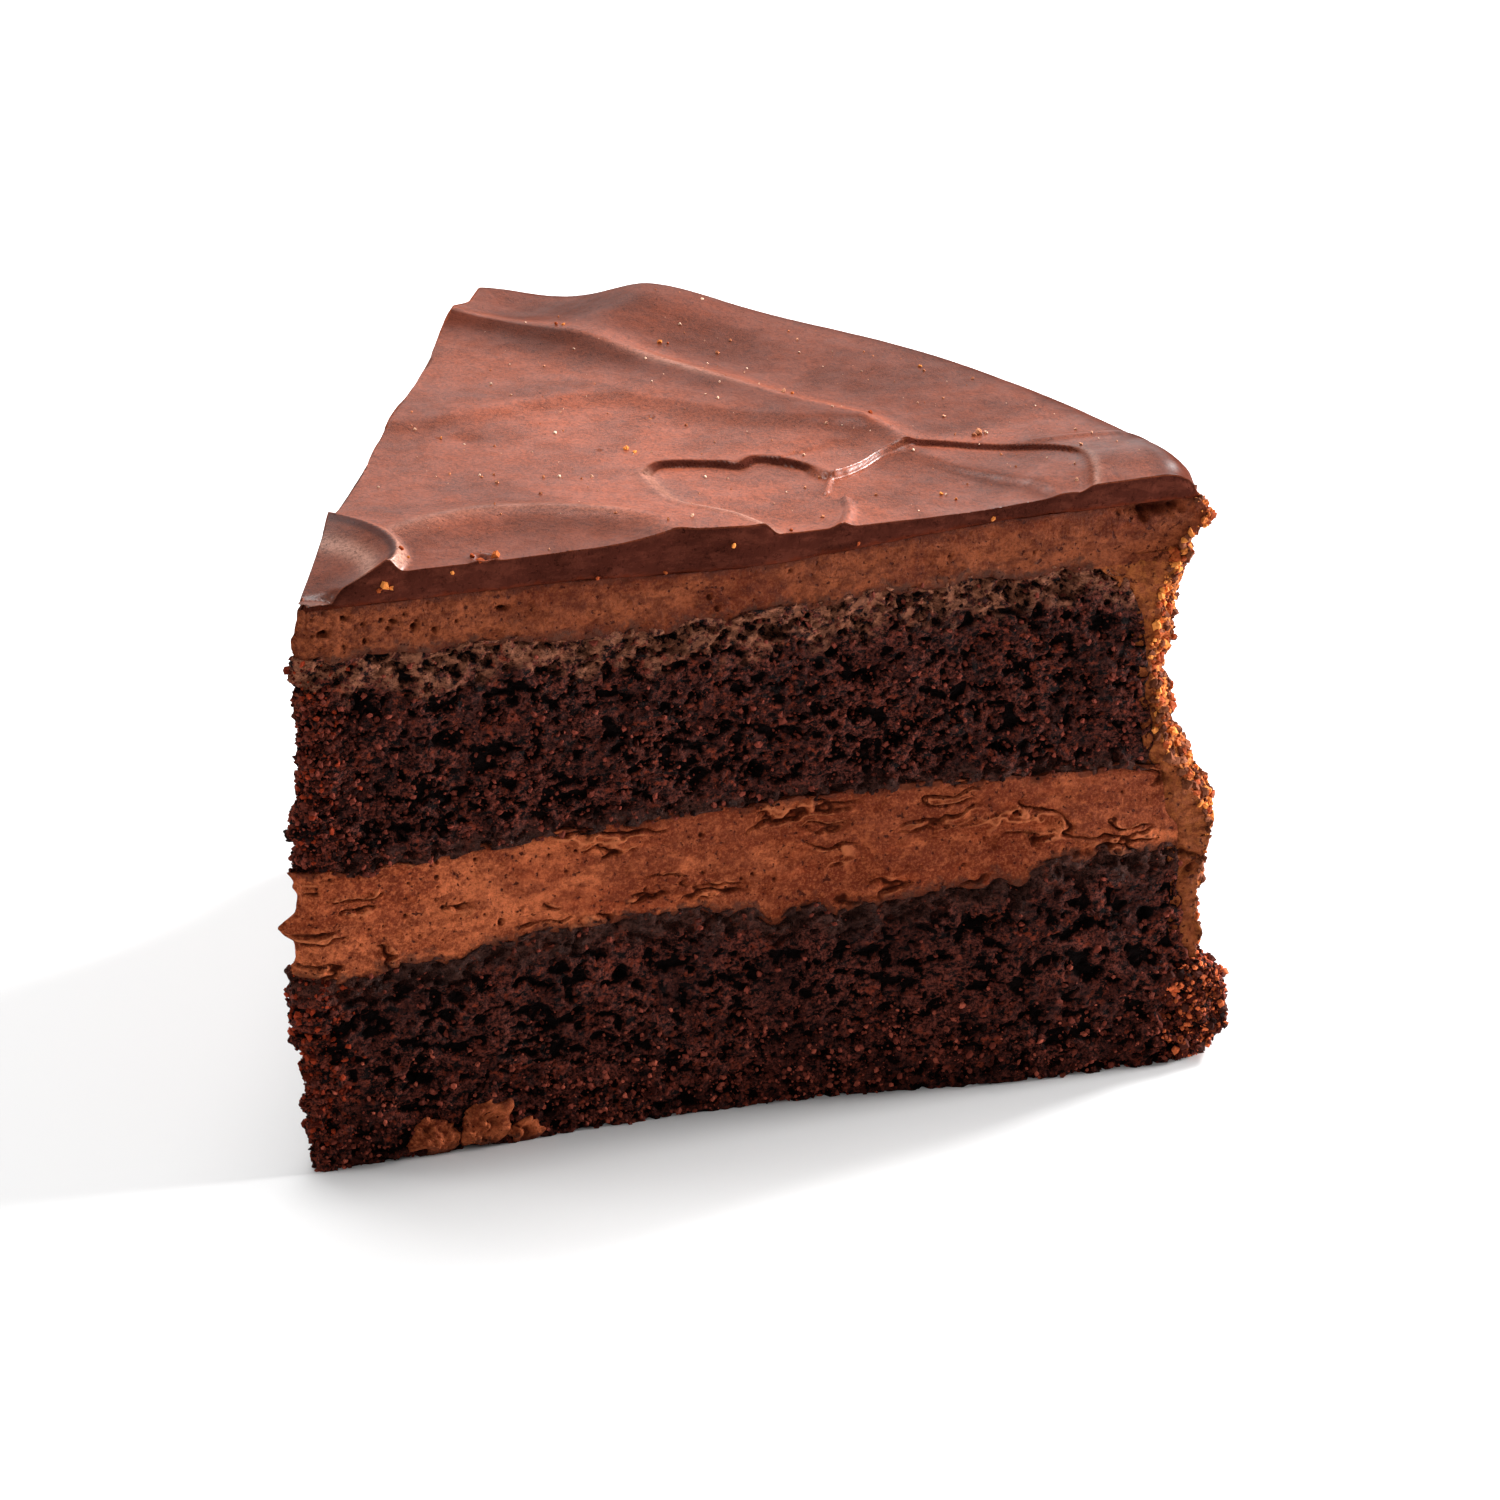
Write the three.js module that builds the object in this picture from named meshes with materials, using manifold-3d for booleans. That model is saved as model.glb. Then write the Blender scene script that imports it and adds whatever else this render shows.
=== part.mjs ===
// Slice of a round two-layer chocolate cake: two sponges with a filling between them,
// frosting over the top and down the side, and a spread of ganache on top.
// Millimetres, +Z up. The slice stands on z = 0, its point towards -X and its front cut towards -Y.

import * as THREE from 'three';
import { mergeGeometries, mergeVertices } from 'three/addons/utils/BufferGeometryUtils.js';
import Module from 'manifold-3d';

// Driving dimensions
const cakeRadius = 115;              // from the point to the top edge of the side
const sliceAngle = THREE.MathUtils.degToRad(63);
const point = { x: -59.5, y: -50.2 };  // where the point of the slice stands
const bluntPoint = 0.9;              // how far the very point is worn back
const gap = 0.3;                     // between neighbouring pieces

const ledgeHeight = 13.2;            // bare sponge below this, coated side above it
const lowerSpongeTop = 26.9;
const upperSpongeFloor = 39.3;
const upperSpongeTop = 66.1;
const frostingTop = 73.3;
const ganacheTop = 76.9;

const frontLean = 6;                 // how far the front cut runs out at the foot of the rim
const crumbDepth = 0.45;             // relief of the sponge on a cut
const creamDepth = 0.15;             // relief of frosting and filling on a cut
const coatDepth = 0.7;               // relief of the frosting on the side of the cake

// Mesh density
const alongCut = 40;
const aroundRim = 34;

// Radius at each height, from the foot upwards, read by radiusAt
const side = [
  [0, 117], [5, 119.6], [10, 118.8], [14, 115.8], [22, 115.6], [32, 117.6],
  [38, 115.6], [45, 114.4], [51, 112], [60, 112.8], [68, 113.6], [71, 116.2], [75, 115.8],
];
const lowerSpongeSide = [
  [0, 117], [5, 119.6], [10, 118.8], [ledgeHeight, 114.4], [22, 114], [28, 112.4],
];
const fillingSide = [[31, 112.3], [34, 110.6], [42, 110]];
const upperSpongeSide = [[38, 109.8], [50, 109.6], [57, 109], [61, 108], [64, 106.4], [66.4, 103.6]];

// Colours
const looks = {
  spongeLower: { color: 0x2a1410, roughness: 0.95, metalness: 0 },
  filling: { color: 0x6e3c26, roughness: 0.7, metalness: 0 },
  spongeUpper: { color: 0x26120e, roughness: 0.95, metalness: 0 },
  frosting: { color: 0x6b3822, roughness: 0.7, metalness: 0 },
  ganache: { color: 0x6a413a, roughness: 0.4, metalness: 0 },
};

const { smoothstep, lerp, clamp } = THREE.MathUtils;
const bell = (distance, width) => Math.exp(-((distance / width) ** 2));

// Radius at a height, eased from one station of a side to the next.
function radiusAt(stations, height) {
  const last = stations.length - 1;
  for (let i = 0; i < last; i += 1) {
    const [low, lowRadius] = stations[i];
    const [high, highRadius] = stations[i + 1];
    if (height <= high) {
      return lerp(lowRadius, highRadius, smoothstep(height, low, high));
    }
  }
  return stations[last][1];
}

// The lines between the layers, by distance from the point and by angle from the front cut.
const fillingFloorAt = (r, angle) => lowerSpongeTop
  + 1.2 * Math.cos((2 * Math.PI * (r - 40)) / 66) + 0.8 * Math.sin(2.6 * angle) * (r / cakeRadius)
  + 0.9 * smoothstep(r, 60, 110);
const fillingTopAt = (r, angle) => upperSpongeFloor
  + 1.9 * Math.sin((Math.PI * Math.min(r, cakeRadius)) / 125) - 0.7 * Math.sin(2.2 * angle) * (r / cakeRadius);
const frostingFloorAt = (r, angle) => upperSpongeTop
  + 0.6 * Math.cos((2 * Math.PI * (r - 88)) / 80) + 0.5 * Math.sin(2 * angle) * (r / cakeRadius);
const ganacheFloorAt = (r, angle) => frostingTop
  - 1.2 * bell(r - 56, 17) + 0.8 * smoothstep(r, 65, 95) - 0.4 * Math.sin(3 * angle) * (r / cakeRadius);

// Crossing waves a few millimetres long, between -1 and 1: the crumb of a cut or the drag of a knife.
function waves(across, up, start) {
  const first = Math.sin(across * 0.93 + 2.1 * Math.sin(up * 0.31 + start));
  const second = Math.sin(up * 0.87 - across * 0.41 + start);
  const third = Math.sin(across * 0.52 + up * 0.63 + 1.7 * start);
  return (first * second + third) / 2;
}

// A smooth line over the top, through places given from the point of the slice.
function trail(...places) {
  const curve = new THREE.CatmullRomCurve3(places.map(([x, y]) => new THREE.Vector3(x, y, 0)));
  return curve.getPoints(8 * places.length);
}

// Distance from a place to a trail, above zero to its left, and how far along the trail that is.
function offTrail(line, x, y) {
  let nearest = { gap: Infinity, share: 0 };
  for (let i = 0; i < line.length - 1; i += 1) {
    const stepX = line[i + 1].x - line[i].x;
    const stepY = line[i + 1].y - line[i].y;
    const fromX = x - line[i].x;
    const fromY = y - line[i].y;
    const along = clamp((fromX * stepX + fromY * stepY) / (stepX ** 2 + stepY ** 2), 0, 1);
    const away = Math.hypot(fromX - along * stepX, fromY - along * stepY);
    if (away < Math.abs(nearest.gap)) {
      const left = Math.sign(stepX * fromY - stepY * fromX) || 1;
      nearest = { gap: left * away, share: (i + along) / (line.length - 1) };
    }
  }
  return nearest;
}

// Marks of the palette knife in the ganache
const frontRoll = trail([10, 8], [16, 12], [24, 14.5], [32, 14], [41, 10], [46, 6], [47.5, 0]);
const backCrest = trail([45, 90.5], [52, 85], [60, 76.5], [64, 66], [69, 56], [75, 45], [81, 37], [84.5, 29], [85, 22]);
const middleWave = trail([28, 50], [36, 51], [47, 53], [57, 51], [64, 44], [70, 38], [82, 31]);
const poolEdge = trail(
  [60, -3], [57, 5], [51.7, 10.5], [50.5, 15], [51, 23], [54, 26.3], [60, 24.5], [66, 24], [70, 21], [72.5, 15.5],
  [77, 17.5], [81, 20.5], [85.5, 22], [90, 21.5], [96, 17.5], [102, 13.5], [103.2, 8], [100.3, -3],
);
const sharpLip = trail([71, 12], [73, 15], [77, 17.5], [81, 20.5], [85.5, 22]);
const pocketRoll = trail([86, 21], [88, 15], [95, 8], [97.7, -1]);

// The upturned lip round the point: how far it stands from the point at each angle.
const lipDistance = (angle) => 11.4 + 8.9 * (angle / sliceAngle) ** 0.85;
const lipTop = 78.7;
const rimRoll = 4.5;                 // width of the rounded edge at the rim

// Top of the ganache: a flat spread plus each knife mark, sunk round the pool and rolled over at the rim.
function ganacheTopAt(r, angle) {
  const x = r * Math.cos(angle);
  const y = r * Math.sin(angle);
  const turn = THREE.MathUtils.radToDeg(angle);
  let z = ganacheTop + 0.4 * bell(Math.hypot(x - 27, y - 53), 15);

  const roll = offTrail(frontRoll, x, y).gap;
  z += 0.9 * bell(roll, roll > 0 ? 11 : 7) * smoothstep(r, 12, 20);
  const wave = offTrail(middleWave, x, y).gap;
  z += 0.35 * bell(wave, wave > 0 ? 7 : 4);
  const crest = offTrail(backCrest, x, y);
  z += lerp(1.6, 0.6, crest.share) * bell(crest.gap, crest.gap > 0 ? 6 : 15);

  const pool = offTrail(poolEdge, x, y).gap;
  const sunk = lerp(0.7, 1.4, smoothstep(-y, -14, 0)) * (1 - 0.5 * smoothstep(x, 84, 96));
  z -= sunk * smoothstep(-pool, -0.6, 1.8);
  z += 0.6 * bell(offTrail(sharpLip, x, y).gap, 1.3);
  z += 0.5 * bell(offTrail(pocketRoll, x, y).gap, 2);

  const swell = bell(turn - 50, turn > 50 ? 3.6 : 6.5);
  z += 2.4 * swell * smoothstep(r, 84, 110);
  z -= 0.6 * bell(Math.hypot(x - 51, y - 90), 7);
  const raised = 1.2 + 1.1 * bell(turn - 4, 2.5) - 0.6 * bell(turn - 17, 9) - 0.9 * bell(turn - 57.5, 3.5);
  z += (raised - 0.9 * bell(turn, 1.5)) * smoothstep(r, 90, 108);

  const lip = lipDistance(angle);
  const facet = lerp(73.6, lipTop, r / lip);
  const behindLip = z + (lipTop - z) * bell(r - lip, 1.5);
  z = r < lip ? facet : behindLip;

  const floor = ganacheFloorAt(r, angle) + gap / 2;
  const rolled = clamp((r - (cakeRadius - rimRoll)) / rimRoll, 0, 1);
  z = lerp(floor, z, Math.sqrt(1 - 0.92 * rolled ** 2));
  return Math.max(z, floor + 0.6);
}

// Where the front cut runs forward: most at the foot near the rim, nothing at the top or the point.
const leanAt = (r, height) => frontLean * smoothstep(r, 50, 108) * Math.max(1 - height / ganacheTop, 0) ** 1.3;

// A place in a layer. share runs from the point (0) to the rim (1), turn from the front cut (0) to the
// second cut (1), rise from the floor of the layer (0) to its top (1).
function place(layer, share, turnAsked, rise) {
  const turn = share > 0 ? turnAsked : 0.5;
  const angle = turn * sliceAngle;
  const height = layer.level(rise, share * cakeRadius, angle);
  const spread = radiusAt(layer.side, height) + layer.sideRelief(angle, height) - cakeRadius;
  const r = Math.max(share * cakeRadius, bluntPoint) + spread * smoothstep(share, 0.8, 1);
  const spot = new THREE.Vector3(r * Math.cos(angle), r * Math.sin(angle), height);

  const grain = layer.cutRelief * waves(r, height, 2 * turn);
  spot.y -= leanAt(r, height) * (1 - turn) ** 2;
  if (turn === 0 || share === 0) {
    spot.y -= grain + layer.past;
  }
  if (turn === 1 || share === 0) {
    const bulge = (0.9 + 1.1 * bell(height - 27, 12)) * smoothstep(-height, -74, -68) * bell(r, 26);
    spot.x -= Math.sin(sliceAngle) * (grain + bulge + layer.past);
    spot.y += Math.cos(sliceAngle) * (grain + bulge + layer.past);
  }
  if (share === 0) {
    spot.x -= 2 * layer.past;
  }
  return spot;
}

// Moves every corner of a geometry to where a rule puts it.
function warp(geometry, rule) {
  const corners = geometry.attributes.position;
  for (let i = 0; i < corners.count; i += 1) {
    const spot = rule(i, corners.getX(i), corners.getY(i));
    corners.setXYZ(i, spot.x, spot.y, spot.z);
  }
  return geometry;
}

// A rectangular sheet of columns by rows, given to a rule as shares from 0 to 1.
function sheet(columns, rows, rule) {
  const flat = new THREE.PlaneGeometry(1, 1, columns, rows);
  return warp(flat, (i, x, y) => {
    const column = Math.round((x + 0.5) * columns);
    const row = Math.round((y + 0.5) * rows);
    return rule(column, row);
  });
}

// The way round a slice: out along the front cut, round the rim and back along the second cut.
function around(column) {
  if (column <= alongCut) {
    return { share: column / alongCut, turn: 0 };
  }
  if (column <= alongCut + aroundRim) {
    return { share: 1, turn: (column - alongCut) / aroundRim };
  }
  return { share: (2 * alongCut + aroundRim - column) / alongCut, turn: 1 };
}

// The wall round a layer.
function wall(layer) {
  return sheet(2 * alongCut + aroundRim, layer.rows, (column, row) => {
    const { share, turn } = around(column);
    return place(layer, share, turn, row / layer.rows);
  });
}

// A plain lid: rungs from cut to cut, then a fan of triangles out to the rim.
function lid(layer, rise) {
  const lastRung = (alongCut - 1) / alongCut;
  const ladder = sheet(alongCut - 1, 1, (column, row) => place(layer, column / alongCut, row, rise));
  const fan = new THREE.CircleGeometry(1, aroundRim + 3);
  warp(fan, (i) => {
    if (i === 0) {
      return place(layer, (1 + lastRung) / 2, 0.5, rise);
    }
    if (i === 1 || i === aroundRim + 4) {
      return place(layer, lastRung, 0, rise);
    }
    if (i === aroundRim + 3) {
      return place(layer, lastRung, 1, rise);
    }
    return place(layer, 1, (i - 2) / aroundRim, rise);
  });
  return mergeGeometries([ladder, fan]);
}

// A lid with a corner at every step, for a top that shows.
function detailedLid(layer) {
  return sheet(alongCut, aroundRim, (column, row) => place(layer, column / alongCut, row / aroundRim, 1));
}

// The same triangles seen from the other side.
function turnedOver(geometry) {
  const { index } = geometry;
  for (let i = 0; i < index.count; i += 3) {
    const first = index.getX(i);
    index.setX(i, index.getX(i + 1));
    index.setX(i + 1, first);
  }
  return geometry;
}

// Sheets joined along their shared edges into one closed skin, without the empty triangles at the point.
function closedSkin(sheets) {
  const bare = mergeGeometries(sheets);
  bare.deleteAttribute('normal');
  bare.deleteAttribute('uv');
  const skin = mergeVertices(bare, 1e-4);
  const kept = [];
  for (let i = 0; i < skin.index.count; i += 3) {
    const corners = [0, 1, 2].map((k) => skin.index.getX(i + k));
    if (new Set(corners).size === 3) {
      kept.push(...corners);
    }
  }
  skin.setIndex(kept);
  return skin;
}

function layerSkin(layer) {
  const top = layer.detailed ? detailedLid(layer) : lid(layer, 1);
  return closedSkin([wall(layer), top, turnedOver(lid(layer, 0))]);
}

// What the layers have in common; each one states what differs.
const plainLayer = { rows: 1, sideRelief: () => 0, cutRelief: creamDepth, past: 0, detailed: false };

const between = (floorAt, topAt) => (rise, r, angle) => (
  lerp(floorAt(r, angle) + gap / 2, topAt(r, angle) - gap / 2, rise)
);

const spongeLower = {
  ...plainLayer,
  rows: 10,
  side: lowerSpongeSide,
  cutRelief: crumbDepth,
  sideRelief: (angle, height) => 0.9 * waves(70 * angle, height, 4) * smoothstep(-height, -9, -6),
  level: (rise, r, angle) => (rise <= 0.5
    ? 2 * rise * (ledgeHeight - gap)
    : lerp(ledgeHeight - gap, fillingFloorAt(r, angle) - gap / 2, 2 * rise - 1)),
};

const filling = {
  ...plainLayer,
  rows: 4,
  side: fillingSide,
  level: between(fillingFloorAt, fillingTopAt),
};

const spongeUpper = {
  ...plainLayer,
  rows: 9,
  side: upperSpongeSide,
  cutRelief: crumbDepth,
  level: between(fillingTopAt, frostingFloorAt),
};

const ganache = {
  ...plainLayer,
  side,
  cutRelief: 0.08,
  detailed: true,
  level: (rise, r, angle) => lerp(ganacheFloorAt(r, angle) + gap / 2, ganacheTopAt(r, angle), rise),
};

// The frosting is a whole slice from the ledge up, with the sponges and the filling taken out of it.
const frostedSlice = {
  ...plainLayer,
  rows: 20,
  side,
  sideRelief: (angle, height) => coatDepth * waves(80 * angle, height, 1) * smoothstep(-height, -73, -68),
  level: (rise, r, angle) => lerp(ledgeHeight + gap, ganacheFloorAt(r, angle) - gap / 2, rise),
};
const roomForCore = {
  ...plainLayer,
  rows: 16,
  side: [
    [ledgeHeight, 114.8], [22, 114.4], [28, 112.8], [31, 112.8], [34, 111], [42, 110.4], [50, 110],
    [57, 109.4], [61, 108.4], [64, 106.8], [66.6, 104],
  ],
  cutRelief: 0,
  past: 3,
  level: (rise, r, angle) => lerp(ledgeHeight - 3, frostingFloorAt(r, angle) + gap / 2, rise),
};

const wasm = await Module();
wasm.setup();

function toSolid(skin) {
  const vertProperties = new Float32Array(skin.attributes.position.array);
  const triVerts = new Uint32Array(skin.index.array);
  return new wasm.Manifold(new wasm.Mesh({ numProp: 3, vertProperties, triVerts }));
}

function toSkin(solid) {
  const { numProp, vertProperties, triVerts } = solid.getMesh();
  const skin = new THREE.BufferGeometry();
  skin.setAttribute('position', new THREE.BufferAttribute(new Float32Array(vertProperties), numProp));
  skin.setIndex(new THREE.BufferAttribute(new Uint32Array(triVerts), 1));
  return skin;
}

function frostingSkin() {
  return toSkin(toSolid(layerSkin(frostedSlice)).subtract(toSolid(layerSkin(roomForCore))));
}

function piece(name, skin, look) {
  skin.computeVertexNormals();
  const mesh = new THREE.Mesh(skin, new THREE.MeshStandardMaterial(look));
  mesh.name = name;
  return mesh;
}

const slice = new THREE.Group();
slice.add(
  piece('sponge_lower', layerSkin(spongeLower), looks.spongeLower),
  piece('filling', layerSkin(filling), looks.filling),
  piece('sponge_upper', layerSkin(spongeUpper), looks.spongeUpper),
  piece('frosting', frostingSkin(), looks.frosting),
  piece('ganache', layerSkin(ganache), looks.ganache),
);
slice.position.set(point.x, point.y, 0);

export default slice;
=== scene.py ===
import math
import bpy
import numpy as np
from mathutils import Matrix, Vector


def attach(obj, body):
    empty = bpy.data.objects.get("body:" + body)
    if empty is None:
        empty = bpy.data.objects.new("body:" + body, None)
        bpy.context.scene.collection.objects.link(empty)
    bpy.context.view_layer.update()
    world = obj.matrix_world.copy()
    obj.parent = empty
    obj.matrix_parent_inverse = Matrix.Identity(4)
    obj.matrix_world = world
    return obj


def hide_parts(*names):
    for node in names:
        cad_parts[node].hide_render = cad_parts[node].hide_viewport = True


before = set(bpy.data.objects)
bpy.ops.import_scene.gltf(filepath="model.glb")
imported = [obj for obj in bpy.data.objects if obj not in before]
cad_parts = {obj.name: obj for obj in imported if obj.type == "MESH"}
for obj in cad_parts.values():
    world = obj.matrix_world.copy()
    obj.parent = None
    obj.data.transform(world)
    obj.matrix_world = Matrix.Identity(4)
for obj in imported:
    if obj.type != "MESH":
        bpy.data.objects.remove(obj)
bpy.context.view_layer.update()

print("frame loaded")

mm = 0.001

# The slice as cut. Heights are millimetres above the table, places are millimetres from the point.
cake = {
    "radius": 115.0,
    "angle": math.radians(63),
    "pointAt": (-59.5, -50.2),
    "lean": 6.0,              # how far the front cut runs out at the foot of the rim
    "top": 76.9,
    "bluntness": 1.3,         # radius of the worn point
    "bulge": (0.9, 1.1),      # how far the point swells out, and how much more beside the filling
    "spikes": (               # crags of the point: height, reach and width
        (40.0, 1.3, 1.4), (32.1, 2.3, 1.2), (17.2, 2.6, 1.3), (13.4, 1.2, 1.2),
    ),
    "ragged": 0.6,            # how far noise breaks the edge of the point
    "bevel": 3.6,             # width of the rim's bevel beside a cut
    "setInFrom": (100.5, 105.0),          # distances between which a layer's set-in at the second cut grows
    "pointSteps": 8,
}


# Arithmetic on whole arrays.
def ease(value, low, high):
    # Smooth step: 0 below low, 1 above high, and 3t^2 - 2t^3 between.
    t = np.clip((value - low) / (high - low), 0, 1)
    return t * t * (3 - 2 * t)


def bell(distance, width):
    # Bell curve: e to the minus (distance / width) squared.
    return np.exp(-(distance / width) ** 2)


def between(low, high, share):
    # Straight blend from low to high.
    return low + (high - low) * share


def packed(*parts):
    # Coordinates, or the corners of faces, side by side.
    return np.stack(parts, -1)


def joined(*parts):
    # Rows one after another.
    return np.concatenate(parts)


def steps(first, last, count):
    # Even steps from first to last, without the last.
    return np.linspace(first, last, count, endpoint=False)


def chance(cells, seed):
    # Mixes three whole numbers and a seed into one number from 0 to 1.
    mixed = cells[..., 0] * 374761393 + cells[..., 1] * 668265263 + cells[..., 2] * 1274126177 + seed * 69069
    mixed = (mixed ^ (mixed >> 13)) * 1103515245
    mixed = (mixed ^ (mixed >> 17)) * 668265263
    return ((mixed ^ (mixed >> 16)) & 0xFFFFFF) / 0xFFFFFF


tilted = np.linalg.qr(np.array([[1.0, 2, 3], [4, 5, 7], [2, -3, 1]]))[0]   # keeps the cuts off the cubes' planes


def noise(places, size, seed):
    # Random values at the corners of tilted cubes of one size, blended smoothly between, from -1 to 1.
    scaled = places @ tilted / size
    base = np.floor(scaled).astype(np.int64)
    part = scaled - base
    part = part * part * (3 - 2 * part)
    total = np.zeros(places.shape[:-1])
    for corner in np.ndindex(2, 2, 2):
        weight = np.prod(np.where(corner, part, 1 - part), axis=-1)
        total += weight * chance(base + corner, seed)
    return 2 * total - 1


def roughness(places, size, layers, seed):
    # Sum of noises, each half the size and half the height of the one before.
    return sum(noise(places, size / 2 ** n, seed + n) / 2 ** n for n in range(layers))


def bent(places, size, amount, seed):
    # Each place pushed about by three noises of its own.
    return places + amount * packed(*(noise(places, size, seed + k) for k in range(3)))


def flattened(places, wide):
    # Places divided by how much wider than tall a noise of them comes out.
    return places / np.array([wide, wide, 1.0])


def bowls(places, spacing, share, seed, smallest=0.22, largest=0.55):
    # One round bowl in a share of the tilted cubes: 1 - (distance / radius)^2, and 0 outside them all.
    scaled = places @ tilted / spacing
    base = np.floor(scaled).astype(np.int64)
    deepest = np.zeros(places.shape[:-1])
    for step in np.ndindex(3, 3, 3):
        cell = base + (np.array(step) - 1)
        centre = cell + 0.15 + 0.7 * packed(*(chance(cell, seed + k) for k in (1, 2, 3)))
        reach = between(smallest, largest, chance(cell, seed + 4) ** 1.5)
        bowl = np.clip(1 - (np.linalg.norm(scaled - centre, axis=-1) / reach) ** 2, 0, 1)
        deepest = np.maximum(deepest, bowl * (chance(cell, seed + 5) < share))
    return deepest


def stations(table, height):
    # Value at a height, eased from one station of a side to the next.
    low, lowValue = table[0]
    value = np.full_like(height, lowValue)
    for high, highValue in table[1:]:
        value = value + (highValue - lowValue) * ease(height, low, high)
        low, lowValue = high, highValue
    return value


def trail(*places):
    # Catmull-Rom curve through places on the top, eight steps a span.
    knots = np.array([places[0], *places, places[-1]], float)
    t = steps(0, 1, 8)[:, None]
    spans = [
        0.5 * (2 * b + (c - a) * t + (2 * a - 5 * b + 4 * c - d) * t ** 2 + (3 * b - a - 3 * c + d) * t ** 3)
        for a, b, c, d in zip(knots, knots[1:], knots[2:], knots[3:])
    ]
    return joined(*spans, knots[-1:])


def offTrail(line, x, y):
    # Distance to the nearest span of a trail, above zero on its left, and the share of the way along it.
    nearest, side, share = np.full(x.shape, 1e9), np.ones(x.shape), np.zeros(x.shape)
    for i, (start, end) in enumerate(zip(line, line[1:])):
        step, fromX, fromY = end - start, x - start[0], y - start[1]
        along = np.clip((fromX * step[0] + fromY * step[1]) / (step @ step + 1e-9), 0, 1)
        dx, dy = fromX - along * step[0], fromY - along * step[1]
        away = np.hypot(dx, dy)
        closer = away < nearest
        nearest = np.where(closer, away, nearest)
        side = np.where(closer, np.where(step[0] * dy - step[1] * dx < 0, -1.0, 1.0), side)
        share = np.where(closer, (i + along) / (len(line) - 1), share)
    return nearest * side, share


# The lines between the layers, in millimetres above the table.
lines = {
    "lowerSpongeTop": 26.9,
    "upperSpongeFloor": 39.3,
    "upperSpongeTop": 66.1,
    "frostingTop": 73.3,
    "ragged": 0.55,           # how far the crumb breaks the lines
    "farOff": 9.0,            # what the marks say where no line is near
    "overlap": 0.6,           # crumbs that reach over the cream
    "dips": (                 # where cream sank into the lower sponge: distance along the cut, depth and width
        (59.5, 1.8, 2.4), (67.5, 1.6, 1.5), (91.5, 2.0, 1.8), (19.5, 2.6, 1.3), (5.0, 4.0, 1.2),
    ),
}


def ragged(r, angle, seed):
    # Broken line of the crumb: noise of 3.2 mm and smaller along the cut.
    places = packed(r * np.cos(angle), r * np.sin(angle), np.full_like(r, seed))
    return lines["ragged"] * roughness(places, 3.2, 3, seed)


def fillingFloor(r, angle):
    # Wave along the cut that rises towards the rim, less the places where cream sank into the sponge.
    wave = 1.2 * np.cos(2 * np.pi * (r - 40) / 66) + 0.8 * np.sin(2.6 * angle) * r / cake["radius"]
    sunk = sum(depth * bell(r - at, width) for at, width, depth in lines["dips"]) * bell(angle, 0.1)
    return lines["lowerSpongeTop"] + wave + 0.9 * ease(r, 60, 110) - sunk + 1.3 * ragged(r, angle, 11)


def fillingTop(r, angle):
    # One long arch from the point to the rim.
    arch = 1.9 * np.sin(np.pi * np.minimum(r, cake["radius"]) / 125)
    return lines["upperSpongeFloor"] + arch - 0.7 * np.sin(2.2 * angle) * r / cake["radius"] + ragged(r, angle, 12)


def frostingFloor(r, angle):
    # Shallow wave, broken by the crumb.
    wave = 0.6 * np.cos(2 * np.pi * (r - 88) / 80) + 0.5 * np.sin(2 * angle) * r / cake["radius"]
    return lines["upperSpongeTop"] + wave + 1.2 * ragged(r, angle, 13)


def ganacheFloor(r, angle):
    # Nearly level: thickest in the middle of the cut and thinner towards the rim.
    wave = 0.8 * ease(r, 65, 95) - 1.2 * bell(r - 56, 17) - 0.4 * np.sin(3 * angle) * r / cake["radius"]
    return lines["frostingTop"] + wave + 0.15 * ragged(r, angle, 14)


# Sides that the layers share: height, then distance from the point.
coatSide = (
    (0, 117.6), (4, 120.8), (8, 120.6), (11, 119), (14, 116.4), (22, 116.8), (32, 119.6), (38, 117), (45, 113.2),
    (51, 112.4), (60, 114.2), (68, 115.6), (71, 118), (75, 116.2),
)
coatCorner = (                # how far the rim draws in beside a cut, where the coat has torn
    (13, 1.4), (28, 1.6), (34, 2.8), (40, 3.8), (45, 3.4), (50, 3.0), (56, 3.8), (62, 3.8), (68, 2.6),
    (72, 0.9), (75, 0.9),
)


def rimAt(layer, height, angle):
    # Distance of the rim, less a bevel beside the nearest cut.
    bevel = np.clip(1 - cake["radius"] * np.minimum(angle, cake["angle"] - angle) / cake["bevel"], 0, 1)
    return stations(layer["side"], height) - stations(layer["corner"], height) * bevel


def leanOut(r, angle, turn, height):
    # Flat place of a distance and an angle, run out at the foot of the front cut, with its height.
    lean = cake["lean"] * ease(r, 50, 108) * np.clip(1 - height / cake["top"], 0, 1) ** 1.3
    return packed(r * np.cos(angle), r * np.sin(angle) - lean * (1 - turn) ** 2, height)


def pushOut(places, angle, amount, onFront, onSecond, onRim, onPoint):
    # Moves places along the way out of the cut, rim or point that they are on.
    across = cake["angle"] / 2
    outX = -onSecond * math.sin(cake["angle"]) + onRim * np.cos(angle) - onPoint * math.cos(across)
    outY = -onFront + onSecond * math.cos(cake["angle"]) + onRim * np.sin(angle) - onPoint * math.sin(across)
    amount = amount / np.maximum(np.hypot(outX, outY), 1e-6) * np.minimum(onFront + onSecond + onRim + onPoint, 1)
    return places + packed(outX * amount, outY * amount, np.zeros_like(amount))


def polar(share, turn):
    # Distance from the point and angle from the front cut, by shares of the radius and of the slice.
    return between(cake["bluntness"], cake["radius"], share), turn * cake["angle"]


def sides(share, turn):
    # Marks of 1 on the front cut, the second cut and the rim.
    return (turn <= 0) * 1.0, (turn >= 1) * 1.0, (share >= 1) * 1.0


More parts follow.
